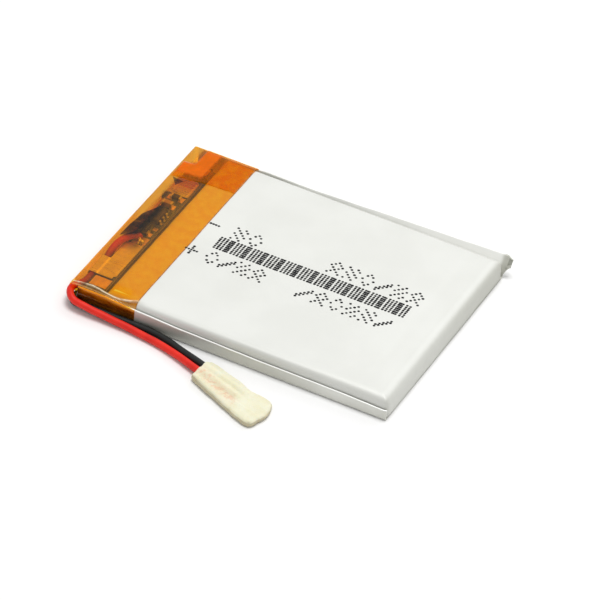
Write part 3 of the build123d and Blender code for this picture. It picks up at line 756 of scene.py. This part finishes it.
def roof_columns(x):
    """Stations across the roof; near the lead side they close up on the crease in the tape."""
    ridge = ridge_y(x)
    near = [LIP_Y, mix(LIP_Y, ridge, 0.55), ridge - 0.07, ridge, ridge + 0.07, ridge + 0.16]
    near += [mix(ridge + 0.16, FIXED_Y[0], t) for t in (0.2, 0.4, 0.6, 0.8)]
    return near + FIXED_Y


def near_lip(x):
    return float(np.interp(x, LIP_X, LIP_Z)) + 0.012 * waver(x, 0, 0, 0.9, 24)


def roof_edge(x, y, z):
    """The tape drops from the cup face to the upper edges of the folded side seals."""
    if y < 2.4:
        ridge = ridge_y(x)
        top = float(np.interp(x, RIDGE_X, RIDGE_Z)) + 0.010 * waver(x, 0, 0, 0.8, 19)
        if y < ridge:
            t = max(0.0, (y - LIP_Y) / (ridge - LIP_Y))
            return mix(near_lip(x), top, t) - 0.03 * math.sin(math.pi * t)
        t = min(1.0, (y - ridge) / (2.4 - ridge))
        return mix(top, z, 1 - (1 - t) ** 3.0)
    inset = WIDTH - y
    if inset < 1.6:
        lip = min(2.93 + 0.02 * waver(x, y, 0, 1.5, 24), z)
        t = max(0.0, (inset - LIP_Y) / 1.30)
        return mix(lip, z, 1 - (1 - t) ** 2.0)
    return z


def wall(x, points, seed):
    return [[x, y + 0.012 * waver(x, y, z, 1.8, seed), z] for y, z in points]


def tape_side(lip):
    """Near side of the tape in section, (y, z) from the lip down."""
    return [(0.16, lip - 0.005), (0.055, lip - 0.07), (0.005, lip - 0.28), (0.0, 2.0),
            (0.0, 1.3), (0.0, 0.6), (0.01, 0.28), (0.06, 0.11), (0.15, 0.0)]


def tape_loop(x, drop, rise):
    """One cross-section of the sleeve, as a closed loop."""
    top = [[x, y, roof_edge(x, y, roof(x, y) + drop)] for y in roof_columns(x)]
    bottom = [[x, y, -0.035 + rise] for _, y, _ in top]
    near = wall(x, tape_side(top[0][2]), 26)
    far = wall(x, [(WIDTH - y, z) for y, z in tape_side(top[-1][2])], 25)
    return top + far + bottom[::-1] + near[::-1]


def make_sheet(obj, thickness):
    sheet = obj.modifiers.new("sheet", "SOLIDIFY")
    sheet.thickness = thickness
    sheet.offset = 0.0
    sheet.material_offset_rim = 1
    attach(obj, "cell")


def head_tape():
    stations = [TAPE_START, -0.175, -0.09, 0.10, 0.45, 0.8, *np.linspace(1.15, TAPE_END, 48)]
    verts, stuck, dim, crease = [], [], [], []
    for k, x in enumerate(stations):
        last = k == len(stations) - 1
        shift = 0.03 * waver(0, 5, 0, 4, 27) if last else 0.0
        loop = tape_loop(x + shift, *(HEAD_CURL[k] if k < len(HEAD_CURL) else (0.0, 0.0)))
        if last:
            loop = [[p[0] + 0.05 * waver(*p, 5.0, 28), p[1], p[2]] for p in loop]
        verts += loop
        # dim is painted shade here: on the last station, on the strip below the crease and on the
        # near wall below the lip; crease is a painted highlight along the crease
        for i, (_, y, z) in enumerate(loop):
            if i < ROOF_COLUMNS:
                bonded = (0.9 * ramp(1.35, 0.95, x - 0.012 * (y - 20)) *
                          ramp(17.5, 20.5, y + 1.5 * x))
                stuck.append(max(bonded, 0.05 * ramp(5.2, 5.8, x), 0.45 if i == 0 else 0.0))
                dim.append(1.0 if last else ROOF_DIM[i])
                crease.append(ROOF_CREASE[i])
            else:
                stuck.append(0.0)
                dim.append(ramp(0.2, 0.06, y) * ramp(0.35, 0.6, loop[0][2] - z))
                crease.append(0.0)
    faces = []
    for quad in flipped(loft_faces(0, len(stations), len(loop))):
        x, y, z = np.mean([verts[i] for i in quad], axis=0)
        # corner opening on the near side
        if not (x < 1.0 and y < 0.22 and 0.05 < z < near_lip(x) - 0.12):
            faces.append(quad)
    # fold over the head edge, closed down to the underside: height and share of the bulge
    fold = [(2.25, 0.3), (1.8, 1.0), (1.3, 1.0), (0.8, 0.3), (0.4, 0.0)]
    base = len(verts)
    for y in FIXED_Y:
        for z, bulge in fold:
            # bulges where the red lead presses on it from inside
            verts.append([TAPE_START - 0.27 * bulge * ramp(3.0, 1.8, y) +
                          0.03 * waver(0, y, z, 1.4, 29), y, z])
            stuck.append(0.35)
            dim.append(0.0)
            crease.append(0.0)

    def fold_index(column, row):
        if row == 0:
            return NEAR_COLUMNS + column
        if row == len(fold) + 1:
            return 2 * ROOF_COLUMNS + len(tape_side(0)) - 1 - NEAR_COLUMNS - column
        return base + column * len(fold) + row - 1

    for i in range(len(FIXED_Y) - 1):
        for j in range(len(fold) + 1):
            faces.append((fold_index(i, j), fold_index(i + 1, j), fold_index(i + 1, j + 1),
                          fold_index(i, j + 1)))
    sleeve = build("head_tape_sleeve", verts, faces, [HEAD_TAPE, TAPE_EDGE], None,
                   "polyimide_tape", ("head_tape",), recalc=True,
                   attributes={"stuck": stuck, "dim": dim, "crease": crease})
    make_sheet(sleeve, 0.00005)


def corner_tape():
    """Second, shorter piece of tape over the far corner."""
    columns = [29.1, 29.25] + [y for y in FIXED_Y if y > 29.6]
    stations = [0.20, 0.32, 0.5, 0.8, 1.15, 1.55, 2.0, *np.linspace(2.2, 9.95, 36)]
    gap = 0.068                        # height above the head tape
    verts, stuck = [], []
    for x in stations:
        row = []
        for y in columns:
            if y < 29.5:
                y += -0.14 + 0.047 * x + 0.03 * waver(x, 0, 0, 3, 30)
            row.append([x, y, roof_edge(x, y, roof(x, y)) + gap])
        lip = row[-1][2] - gap
        row += wall(x, [(36.86, lip + 0.04), (36.99, lip - 0.05), (37.065, lip - 0.28),
                        (37.07, 2.0), (37.07, 1.5),
                        (37.07, 1.0 + 0.05 * waver(x, 0, 0, 1.2, 31))], 25)
        verts += row
        stuck += [(0.95 + 0.25 * waver(x, y, 0, 1.1, 32)) * ramp(4.6, 4.1, x) *
                  ramp(0.1, 0.4, x) * ramp(29.9, 30.8, y) * ramp(36.7, 36.3, y)
                  for _, y, _ in row]
    # leave out the far corner at the head, with its vertices
    faces = [face for face in flipped(grid_faces(0, len(row), len(stations)))
             if not (verts[face[0]][0] < 1.95 and verts[face[0]][1] > 32.5)]
    used = sorted({i for face in faces for i in face})
    new_index = {old: i for i, old in enumerate(used)}
    faces = [tuple(new_index[i] for i in face) for face in faces]
    patch = build("corner_tape_patch", [verts[i] for i in used], faces,
                  [CORNER_TAPE, TAPE_EDGE], None, "polyimide_tape", ("corner_tape",),
                  attributes={"stuck": [stuck[i] for i in used]})
    make_sheet(patch, 0.00004)


# ---- leads -----------------------------------------------------------------------------------
LEAD_RADIUS = 0.52
STRAND_REACH = 0.20                    # radius of the strand bundle
LAY_PITCH = 4.5                        # length of one turn of the strands
WRAP_LEAD_Z = 0.73                     # axis height where the leads run into the wrap
RED_ACROSS, BLACK_ACROSS = 2.41, 3.67  # lead axes, measured across the wrap
# lead axes (x, y, z): from the board round the head corner, then back along the cell
RED_FRONT = [(3.15, 14.45, 1.90), (2.62, 15.05, 2.20), (2.18, 15.18, 2.26), (1.60, 14.50, 2.27),
             (0.93, 13.10, 2.22), (0.58, 11.70, 1.95), (0.52, 10.50, 1.55), (0.53, 9.55, 1.22),
             (0.55, 8.0, 1.20), (0.55, 5.2, 1.20), (0.50, 3.3, 1.28), (0.28, 2.3, 1.50),
             (-0.14, 1.05, 1.75), (0.06, -0.10, 1.76), (0.84, -1.03, 1.59), (1.57, -1.34, 1.42),
             (2.2, -1.43, 1.36), (3.2, -1.48, 1.26), (4.0, -1.52, 1.15), (5.5, -1.53, 1.0)]
BLACK_FRONT = [(2.50, 4.30, 0.75), (2.46, 2.30, 0.79), (2.08, 1.60, 0.81), (1.40, 1.22, 0.82),
               (0.84, 1.00, 0.79), (0.52, 0.60, 0.70), (0.54, 0.0, 0.60), (0.86, -0.42, 0.54),
               (1.42, -0.55, 0.52), (2.2, -0.55, 0.52), (3.4, -0.55, 0.52), (4.5, -0.57, 0.52),
               (5.5, -0.585, 0.52)]
RED_REAR = [(7.8, -1.59, 0.80), (9.6, -1.66, 0.69), (12.1, -1.9, 0.55), (15.5, -2.43, 0.53),
            (18.4, -3.23, 0.60)]
BLACK_REAR = [(8.2, -0.585, 0.52), (10.9, -0.585, 0.52), (12.6, -0.62, 0.52),
              (14.3, -0.80, 0.52), (16.5, -1.35, 0.55), (18.8, -2.15, 0.60)]


def path(points, start, end, steps):
    """Chain of cubic curves through the points, smooth at every joint, as samples."""
    p = [np.array(q, float) for q in points]
    gaps = [np.linalg.norm(b - a) for a, b in zip(p, p[1:])]
    headings = [np.array(start, float)]
    for i in range(1, len(p) - 1):
        headings.append((p[i] - p[i - 1]) / gaps[i - 1] * gaps[i] +
                        (p[i + 1] - p[i]) / gaps[i] * gaps[i - 1])
    headings.append(np.array(end, float))
    headings = [h / np.linalg.norm(h) for h in headings]
    samples = []
    for i, gap in enumerate(gaps):
        b0, b3 = p[i], p[i + 1]
        b1, b2 = b0 + headings[i] * gap / 3, b3 - headings[i + 1] * gap / 3
        for k in range(steps):
            t = k / steps
            samples.append((1 - t) ** 3 * b0 + 3 * (1 - t) ** 2 * t * b1 +
                           3 * (1 - t) * t * t * b2 + t ** 3 * b3)
    samples.append(p[-1])
    return samples


def cross_axes(points):
    """Two axes square to the path at each point, without twist."""
    last = len(points) - 1
    tangents = [points[min(i + 1, last)] - points[max(i - 1, 0)] for i in range(last + 1)]
    tangents = [t / np.linalg.norm(t) for t in tangents]
    side = np.cross(np.array([0, 0, 1.0]), tangents[0])
    side /= np.linalg.norm(side)
    axes = []
    for tangent in tangents:
        side = side - tangent * np.dot(side, tangent)
        side /= np.linalg.norm(side)
        axes.append((side, np.cross(tangent, side)))
    return axes


def tube(points, radius, sides, unevenness=0.0, seed=0.0):
    verts = []
    for p, (u, w) in zip(points, cross_axes(points)):
        for i in range(sides):
            angle = 2 * math.pi * i / sides
            q = p + (u * math.cos(angle) + w * math.sin(angle)) * radius
            if unevenness:
                q = p + (q - p) * (1 + unevenness * waver(*q, size=1.1, seed=seed))
            verts.append(list(q))
    faces = loft_faces(0, len(points), sides)
    faces.append(tuple(range(sides - 1, -1, -1)))
    faces.append(tuple(range((len(points) - 1) * sides, len(points) * sides)))
    return verts, faces


def strands(points):
    """Seven tinned strands, six of them laid round the middle one."""
    axes = cross_axes(points)
    run = [0.0]
    for a, b in zip(points, points[1:]):
        run.append(run[-1] + float(np.linalg.norm(b - a)))
    verts, faces = [], []
    for k in range(7):
        offset = 0.0 if k == 6 else STRAND_REACH * 0.66
        line = []
        for p, (u, w), distance in zip(points, axes, run):
            angle = 2 * math.pi * (k / 6 + distance / LAY_PITCH)
            line.append(p + (u * math.cos(angle) + w * math.sin(angle)) * offset)
        strand, strand_faces = tube(line, STRAND_REACH * 0.335, sides=8)
        base = len(verts)
        verts += strand
        faces += [tuple(base + i for i in face) for face in strand_faces]
    return verts, faces


def lead(color, front, rear, across, vinyl, start, slope, seed):
    """One lead; `slope` is its fall in z per mm of x where front and rear meet."""
    def insulation(name, points, stands):
        return build(name, *tube(points, LEAD_RADIUS, 24, unevenness=0.02, seed=seed), vinyl,
                     None, color + "_insulation", stands, sharp=50)

    def core(name, points, stands):
        return build(name, *strands(points), STRANDS, None, "tinned_strands", stands, sharp=60)

    steps, joint = 10, (1, 0, slope)
    whole = path(front, start, joint, steps)
    fronts = (insulation(color + "_lead_front", whole[steps - 2:],
                         (color + "_lead_tail", color + "_lead_bend")),
              core(color + "_strands_front", whole[:steps + 8],
                   (color + "_core_tail", color + "_core_bend")))
    # the front pieces pass from the cell to the bend round the head corner
    for obj in fronts:
        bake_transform(obj)
    run = path(front[-1:] + rear + [wrap_point(22.3, across, WRAP_LEAD_Z)], joint, ALONG, 12)
    run += [wrap_point(along, across, WRAP_LEAD_Z) for along in np.linspace(22.9, 30.3, 16)]
    tip = [wrap_point(along, across, WRAP_LEAD_Z) for along in np.linspace(29.6, 32.6, 22)]
    rears = (insulation(color + "_lead_rear", run, (color + "_lead_run",)),
             core(color + "_strands_rear", tip, (color + "_core_run",)))
    for obj in rears:
        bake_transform(obj)


# ---- paper wrap on the lead ends ------------------------------------------------------------
# corners as (along, across) the wrap
WRAP_HIGH = np.array((22.6, 5.30)), np.array((34.3, 5.50))
WRAP_LOW = np.array((23.4, 0.85)), np.array((35.85, -0.55))


def wrap_outline(a, b):
    """Plan position for a along the wrap and b across it, both 0 to 1."""
    low = mix(*WRAP_LOW, a)
    high = mix(*WRAP_HIGH, a)
    low = low + np.array((0, 0.08 * waver(a * 12, 1, 0, 2.2, 40) - 0.06 * math.sin(math.pi * a)
                          + 0.40 * math.exp(-(1 - a) / 0.045) + 0.10 * math.exp(-a / 0.02)))
    high = high + np.array((0, 0.12 * waver(a * 12, 4, 0, 2.6, 41)
                            - 0.34 * math.exp(-((a - 0.68) / 0.13) ** 2)
                            - 0.35 * math.exp(-(1 - a) / 0.04) - 0.12 * math.exp(-a / 0.03)))
    p = mix(low, high, b)
    end = (0.75 * math.exp(-((b - 0.62) / 0.36) ** 2) - 0.45 * math.exp(-b / 0.08)
           + 0.12 * waver(3, b * 5.8, 0, 1.3, 42))
    p = p + np.array((end * ramp(0.75, 1.0, a), 0))
    front = 0.10 * waver(7, b * 5.0, 0, 1.5, 43)
    return p + np.array((front * ramp(0.15, 0.0, a), 0))


def wrap_height(along, across, a):
    z = mix(1.20, 0.90, a) + 0.07 * waver(along, across, 0, 2.6, 44)
    z += 0.04 * waver(along, across, 0, 0.9, 45)
    z = mix(z, 0.72, ramp(4.15, 5.0, across))
    over_lead = max(math.exp(-((across - axis) / 0.60) ** 2)
                    for axis in (RED_ACROSS, BLACK_ACROSS))
    z = mix(z, 1.39 + 0.03 * waver(along, across, 0, 1.5, 38), over_lead * ramp(31.6, 30.0, along))
    z += 0.012 * math.sin(7 * along + 3 * across)
    # overlapping end of the tape
    lap = across - 1.25 - 0.05 * (along - 24) + 0.12 * waver(along, 0, 0, 1.6, 46)
    return z + 0.07 * ramp(0.02, -0.02, lap)


def paper_wrap():
    columns, rows = 84, 48
    verts = []
    for j in range(rows + 1):
        for i in range(columns + 1):
            a, b = i / columns, j / rows
            along, across = wrap_outline(a, b)
            z = wrap_height(along, across, a)
            z -= (0.20 * math.exp(-min(b, 1 - b) * 5.2 / 0.14) +
                  0.16 * math.exp(-min(a, 1 - a) * 11.7 / 0.12))
            verts.append(list(wrap_point(along, across, z)))
    faces = grid_faces(0, columns + 1, rows + 1)
    edge = border(columns + 1, rows + 1)
    centre = np.mean([verts[i] for i in edge], axis=0)
    above = edge
    # rings down the side: share of the edge height, and how far out
    for level, outward in ((0.80, 0.06), (0.62, 0.11), (0.45, 0.10), (0.28, 0.07), (0.12, 0.02),
                           (0.0, -0.12)):
        ring = []
        for i in edge:
            v = np.array(verts[i])
            spoke = v - centre
            spoke[2] = 0
            normal = (ALONG * (np.dot(spoke, ALONG) / 5.9) ** 5 +
                      ACROSS * (np.dot(spoke, ACROSS) / 2.7) ** 5)
            normal = normal / (np.linalg.norm(normal) + 1e-9)
            layers = (0.04 * waver(v[0], v[1], level * 3, 0.8, 47) +
                      0.03 * math.sin(level * 34 + 2 * waver(v[0], v[1], 0, 2, 48)))
            w = v + normal * (outward + layers)
            w[2] = max(0.0, level * v[2])
            ring.append(len(verts))
            verts.append(list(w))
        for k in range(len(edge)):
            after = (k + 1) % len(edge)
            faces.append((above[k], ring[k], ring[after], above[after]))
        above = ring
    faces.append(tuple(above[::-1]))
    build("paper_wrap", verts, faces, PAPER, "end_wrap", "masking_tape", ("lead_end_wrap",),
          recalc=True, sharp=70)


# ---- generic marks on the cup face --------------------------------------------------------
DOT_PITCH, DOT_RADIUS, DOT_SIDES = 0.42, 0.205, 10
# filler patterns on 5 columns by 7 rows of dots
PATTERNS = [
    lambda c, r: (c + r) % 4 == 0 or (c - r) % 4 == 0,
    lambda c, r: (c + r) % 3 == 0,
    lambda c, r: abs(c - 2) * 3 + abs(r - 3) * 2 in (6, 7),
    lambda c, r: r == c or r == c + 1,
    lambda c, r: (c - r) % 3 == 0,
]
# rows of cells: x, y, spacing, count, first pattern, pattern step
CELL_ROWS = [(14.2, 20.35, 2.5, 2, 1, 1), (29.0, 20.95, 2.5, 6, 0, 1),
             (13.3, 13.75, 2.4, 4, 2, 1), (27.8, 13.75, 2.45, 6, 3, 2)]


def dots_at(points):
    """A low disc of ink at each point, slightly uneven in place and size."""
    verts, faces = [], []
    rng = random.Random(11)
    for x, y in points:
        x += rng.uniform(-0.012, 0.012)
        y += rng.uniform(-0.012, 0.012)
        radius = DOT_RADIUS * rng.uniform(0.9, 1.08)
        top = cup_top(x, y)
        base = len(verts)
        for z, r in ((top - 0.02, radius), (top + 0.006, radius), (top + 0.010, radius * 0.86)):
            for i in range(DOT_SIDES):
                angle = 2 * math.pi * i / DOT_SIDES
                verts.append([x + r * math.cos(angle), y + r * math.sin(angle), z])
        faces += loft_faces(base, 3, DOT_SIDES)
        faces.append(tuple(base + 2 * DOT_SIDES + i for i in range(DOT_SIDES)))
        faces.append(tuple(base + i for i in range(DOT_SIDES - 1, -1, -1)))
    return verts, faces


def print_marks():
    """Polarity signs and plain filler patterns: cells of 5 x 7 dots and a ruled tick band."""
    # minus and plus signs beside the tape edge
    points = [(10.35 + i * DOT_PITCH, 21.8) for i in range(4)]
    for i in range(5):
        points.append((10.0 + i * DOT_PITCH, 15.1))
        if i != 2:
            points.append((10.84, 14.26 + i * DOT_PITCH))
    for x0, y, spacing, count, first, step in CELL_ROWS:
        for k in range(count):
            x = x0 + spacing * k
            pattern = PATTERNS[(first + k * step) % 5]
            points += [(x + c * DOT_PITCH, y + r * DOT_PITCH)
                       for r in range(7) for c in range(5) if pattern(c, r)]
    # ruled band: three single ticks, then a solid one
    x = 13.2
    while x < 42.6:
        for offset in (0.0, 0.50, 1.0, 1.52, 1.77, 2.02):
            if x + offset > 42.7:
                break
            for r in range(7):
                points.append((x + offset, 17.25 + r * DOT_PITCH + 0.012 * (x - 13)))
        x += 2.62
    build("print_dots", *dots_at(points), INK, "cell", sharp=50)


pouch_body()
pouch_tray()
head_tape()
corner_tape()
lead("red", RED_FRONT, RED_REAR, RED_ACROSS, RED_VINYL, start=(-0.6, 0.75, 0.22), slope=-0.09,
     seed=50)
lead("black", BLACK_FRONT, BLACK_REAR, BLACK_ACROSS, BLACK_VINYL, start=(0.0, -1.0, 0.0),
     slope=0.0, seed=51)
paper_wrap()
print_marks()

# ---- finishes of the carried-over parts ------------------------------------------------------
EVEN = (1, 1, 1)                       # grain without a direction
MEMBRANE = dict(light=(0.86, 0.86, 0.84), dark=(0.78, 0.78, 0.77), rough=0.6, size=0.2,
                depth=0.004)
SEALANT = dict(light=(0.80, 0.79, 0.72), dark=(0.70, 0.69, 0.62), rough=0.35, size=0.3,
               depth=0.006)
PAD = dict(light=(0.95, 0.91, 0.84), dark=(0.84, 0.79, 0.71), rough=0.34, spots=0.3)
GLAZE = dict(dark=(0.014, 0.014, 0.016), light=(0.03, 0.03, 0.033))
ALUMINIUM = metal_material("rolled_aluminium", light=(0.84, 0.85, 0.85),
                           dark=(0.74, 0.75, 0.75), rough=0.28)
NICKEL = metal_material("rolled_nickel", light=(0.92, 0.88, 0.80), dark=(0.80, 0.76, 0.68),
                        rough=0.32, spots=0.3)
FINISH = {
    "anode_foil": plastic_material(
        "graphite_coating", light=(0.030, 0.029, 0.030), dark=(0.018, 0.018, 0.020),
        rough=0.7, size=0.12, depth=0.01),
    "cathode_foil": plastic_material(
        "oxide_coating", light=(0.045, 0.042, 0.046), dark=(0.028, 0.027, 0.030),
        rough=0.75, size=0.12, depth=0.01),
    "separator_inner": plastic_material("membrane", **MEMBRANE),
    "separator_outer": plastic_material("membrane_outer", **MEMBRANE),
    "termination_tape": plastic_material(
        "polyester_tape", light=(0.02, 0.22, 0.12), dark=(0.015, 0.16, 0.09),
        rough=0.3, size=0.3, depth=0.004),
    "negative_tab": NICKEL,
    "positive_tab": ALUMINIUM,
    "negative_tab_sealant": plastic_material("seal_film_a", **SEALANT),
    "positive_tab_sealant": plastic_material("seal_film_b", **SEALANT),
    "insulating_paper": plastic_material(
        "pressed_paper", light=(0.17, 0.18, 0.14), dark=(0.12, 0.13, 0.10),
        rough=0.8, size=0.18, depth=0.012),
    "foam_pad": plastic_material(
        "foam_strip", light=(0.74, 0.74, 0.70), dark=(0.60, 0.60, 0.56),
        rough=0.9, size=0.14, depth=0.05),
    "circuit_board": board_material("solder_mask"),
    "board_pads": metal_material(
        "plated_copper", light=(0.88, 0.66, 0.36), dark=(0.78, 0.55, 0.28),
        rough=0.38, along=EVEN, size=0.7, depth=0.002),
    "negative_nickel_pad": metal_material("nickel_strip_a", **PAD),
    "positive_nickel_pad": metal_material("nickel_strip_b", **PAD),
    "protection_ic": plastic_material(
        "moulding_compound", light=(0.050, 0.048, 0.045), dark=(0.034, 0.033, 0.031),
        rough=0.5, size=0.07, depth=0.012),
    "ic_pins": metal_material(
        "tinned_pins", light=(0.76, 0.75, 0.73), dark=(0.60, 0.59, 0.57),
        rough=0.3, along=EVEN, size=0.1),
    "resistor_r1": chip_material("glazed_chip_a", **GLAZE, x0=1.75, x1=3.40),
    "resistor_r2": chip_material("glazed_chip_b", **GLAZE, x0=1.75, x1=3.30),
    "capacitor_c1": chip_material("fired_chip", dark=(0.30, 0.19, 0.10),
                                  light=(0.38, 0.26, 0.15), x0=1.55, x1=3.15),
    "solder_joints": metal_material(
        "solder", light=(0.80, 0.80, 0.79), dark=(0.60, 0.60, 0.59),
        rough=0.22, along=EVEN, size=0.3, depth=0.03),
}
for name, material in FINISH.items():
    mesh = NODES[name].data
    mesh.materials.clear()
    mesh.materials.append(material)
    mesh.polygons.foreach_set("material_index", [0] * len(mesh.polygons))

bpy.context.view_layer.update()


# ---- floor, light and camera (metres) -----------------------------------------------------
def floor_material():
    g = Graph("pale_floor")
    color = g.blend(g.spread(g.noise(40.0)), (0.88, 0.88, 0.88), (0.90, 0.90, 0.90))
    normal = g.bump(g.noise(1.0), depth=0.004, strength=0.3)
    return g.principled(color, 0.0, 0.85, normal, Specular_IOR_Level=0.2)


def add_floor(half, z):
    material = floor_material()
    mesh = bpy.data.meshes.new("floor")
    mesh.from_pydata([(-half, -half, z), (half, -half, z), (half, half, z), (-half, half, z)],
                     [], [(0, 1, 2, 3)])
    mesh.materials.append(material)
    floor = bpy.data.objects.new("floor", mesh)
    bpy.context.scene.collection.objects.link(floor)


def add_softbox(name, location, size, power):
    """Rectangular light aimed at the origin."""
    light = bpy.data.lights.new(name, "AREA")
    light.shape = "RECTANGLE"
    light.size, light.size_y = size
    light.energy = power
    box = bpy.data.objects.new(name, light)
    box.location = location
    box.rotation_euler = (-Vector(location)).to_track_quat("-Z", "Y").to_euler()
    bpy.context.scene.collection.objects.link(box)


def add_world(color, strength):
    world = bpy.data.worlds.new("studio")
    bpy.context.scene.world = world
    world.use_nodes = True
    tree = world.node_tree
    tree.nodes.clear()
    output = tree.nodes.new("ShaderNodeOutputWorld")
    background = tree.nodes.new("ShaderNodeBackground")
    background.inputs["Color"].default_value = color
    background.inputs["Strength"].default_value = strength
    tree.links.new(background.outputs[0], output.inputs[0])


def add_camera(azimuth, elevation, roll, shift_x, shift_y, distance, lens):
    """Long lens looking down at the head corner; angles in radians, the rest in mm."""
    back = Vector((math.sin(azimuth) * math.cos(elevation),
                   -math.cos(azimuth) * math.cos(elevation), math.sin(elevation)))
    level = Vector((math.cos(azimuth), math.sin(azimuth), 0))
    upright = back.cross(level)
    right = level * math.cos(roll) + upright * math.sin(roll)
    up = -level * math.sin(roll) + upright * math.cos(roll)
    place = metres(-shift_x * right - shift_y * up + distance * back)
    data = bpy.data.cameras.new("camera")
    data.sensor_width = 36.0
    data.lens = lens
    data.clip_start, data.clip_end = 0.01, 10.0
    camera = bpy.data.objects.new("camera", data)
    rows = [(right[i], up[i], back[i], place[i]) for i in range(3)]
    camera.matrix_world = Matrix((*rows, (0, 0, 0, 1)))
    bpy.context.scene.collection.objects.link(camera)
    bpy.context.scene.camera = camera


add_floor(half=1.5, z=-0.00007)
add_softbox("overhead_softbox", (0.02, 0.03, 0.50), size=(0.26, 0.22), power=1.42)
add_softbox("rear_softbox", (0.10, 0.55, 0.38), size=(0.6, 0.4), power=0.90)
add_world(color=(1.0, 0.998, 0.99, 1), strength=0.595)
add_camera(azimuth=math.radians(24.069), elevation=math.radians(38.779),
           roll=math.radians(5.175), shift_x=-31.862, shift_y=0.007, distance=774.4, lens=336.0)
bpy.context.scene.view_settings.view_transform = "Standard"
bpy.context.scene.view_settings.look = "None"
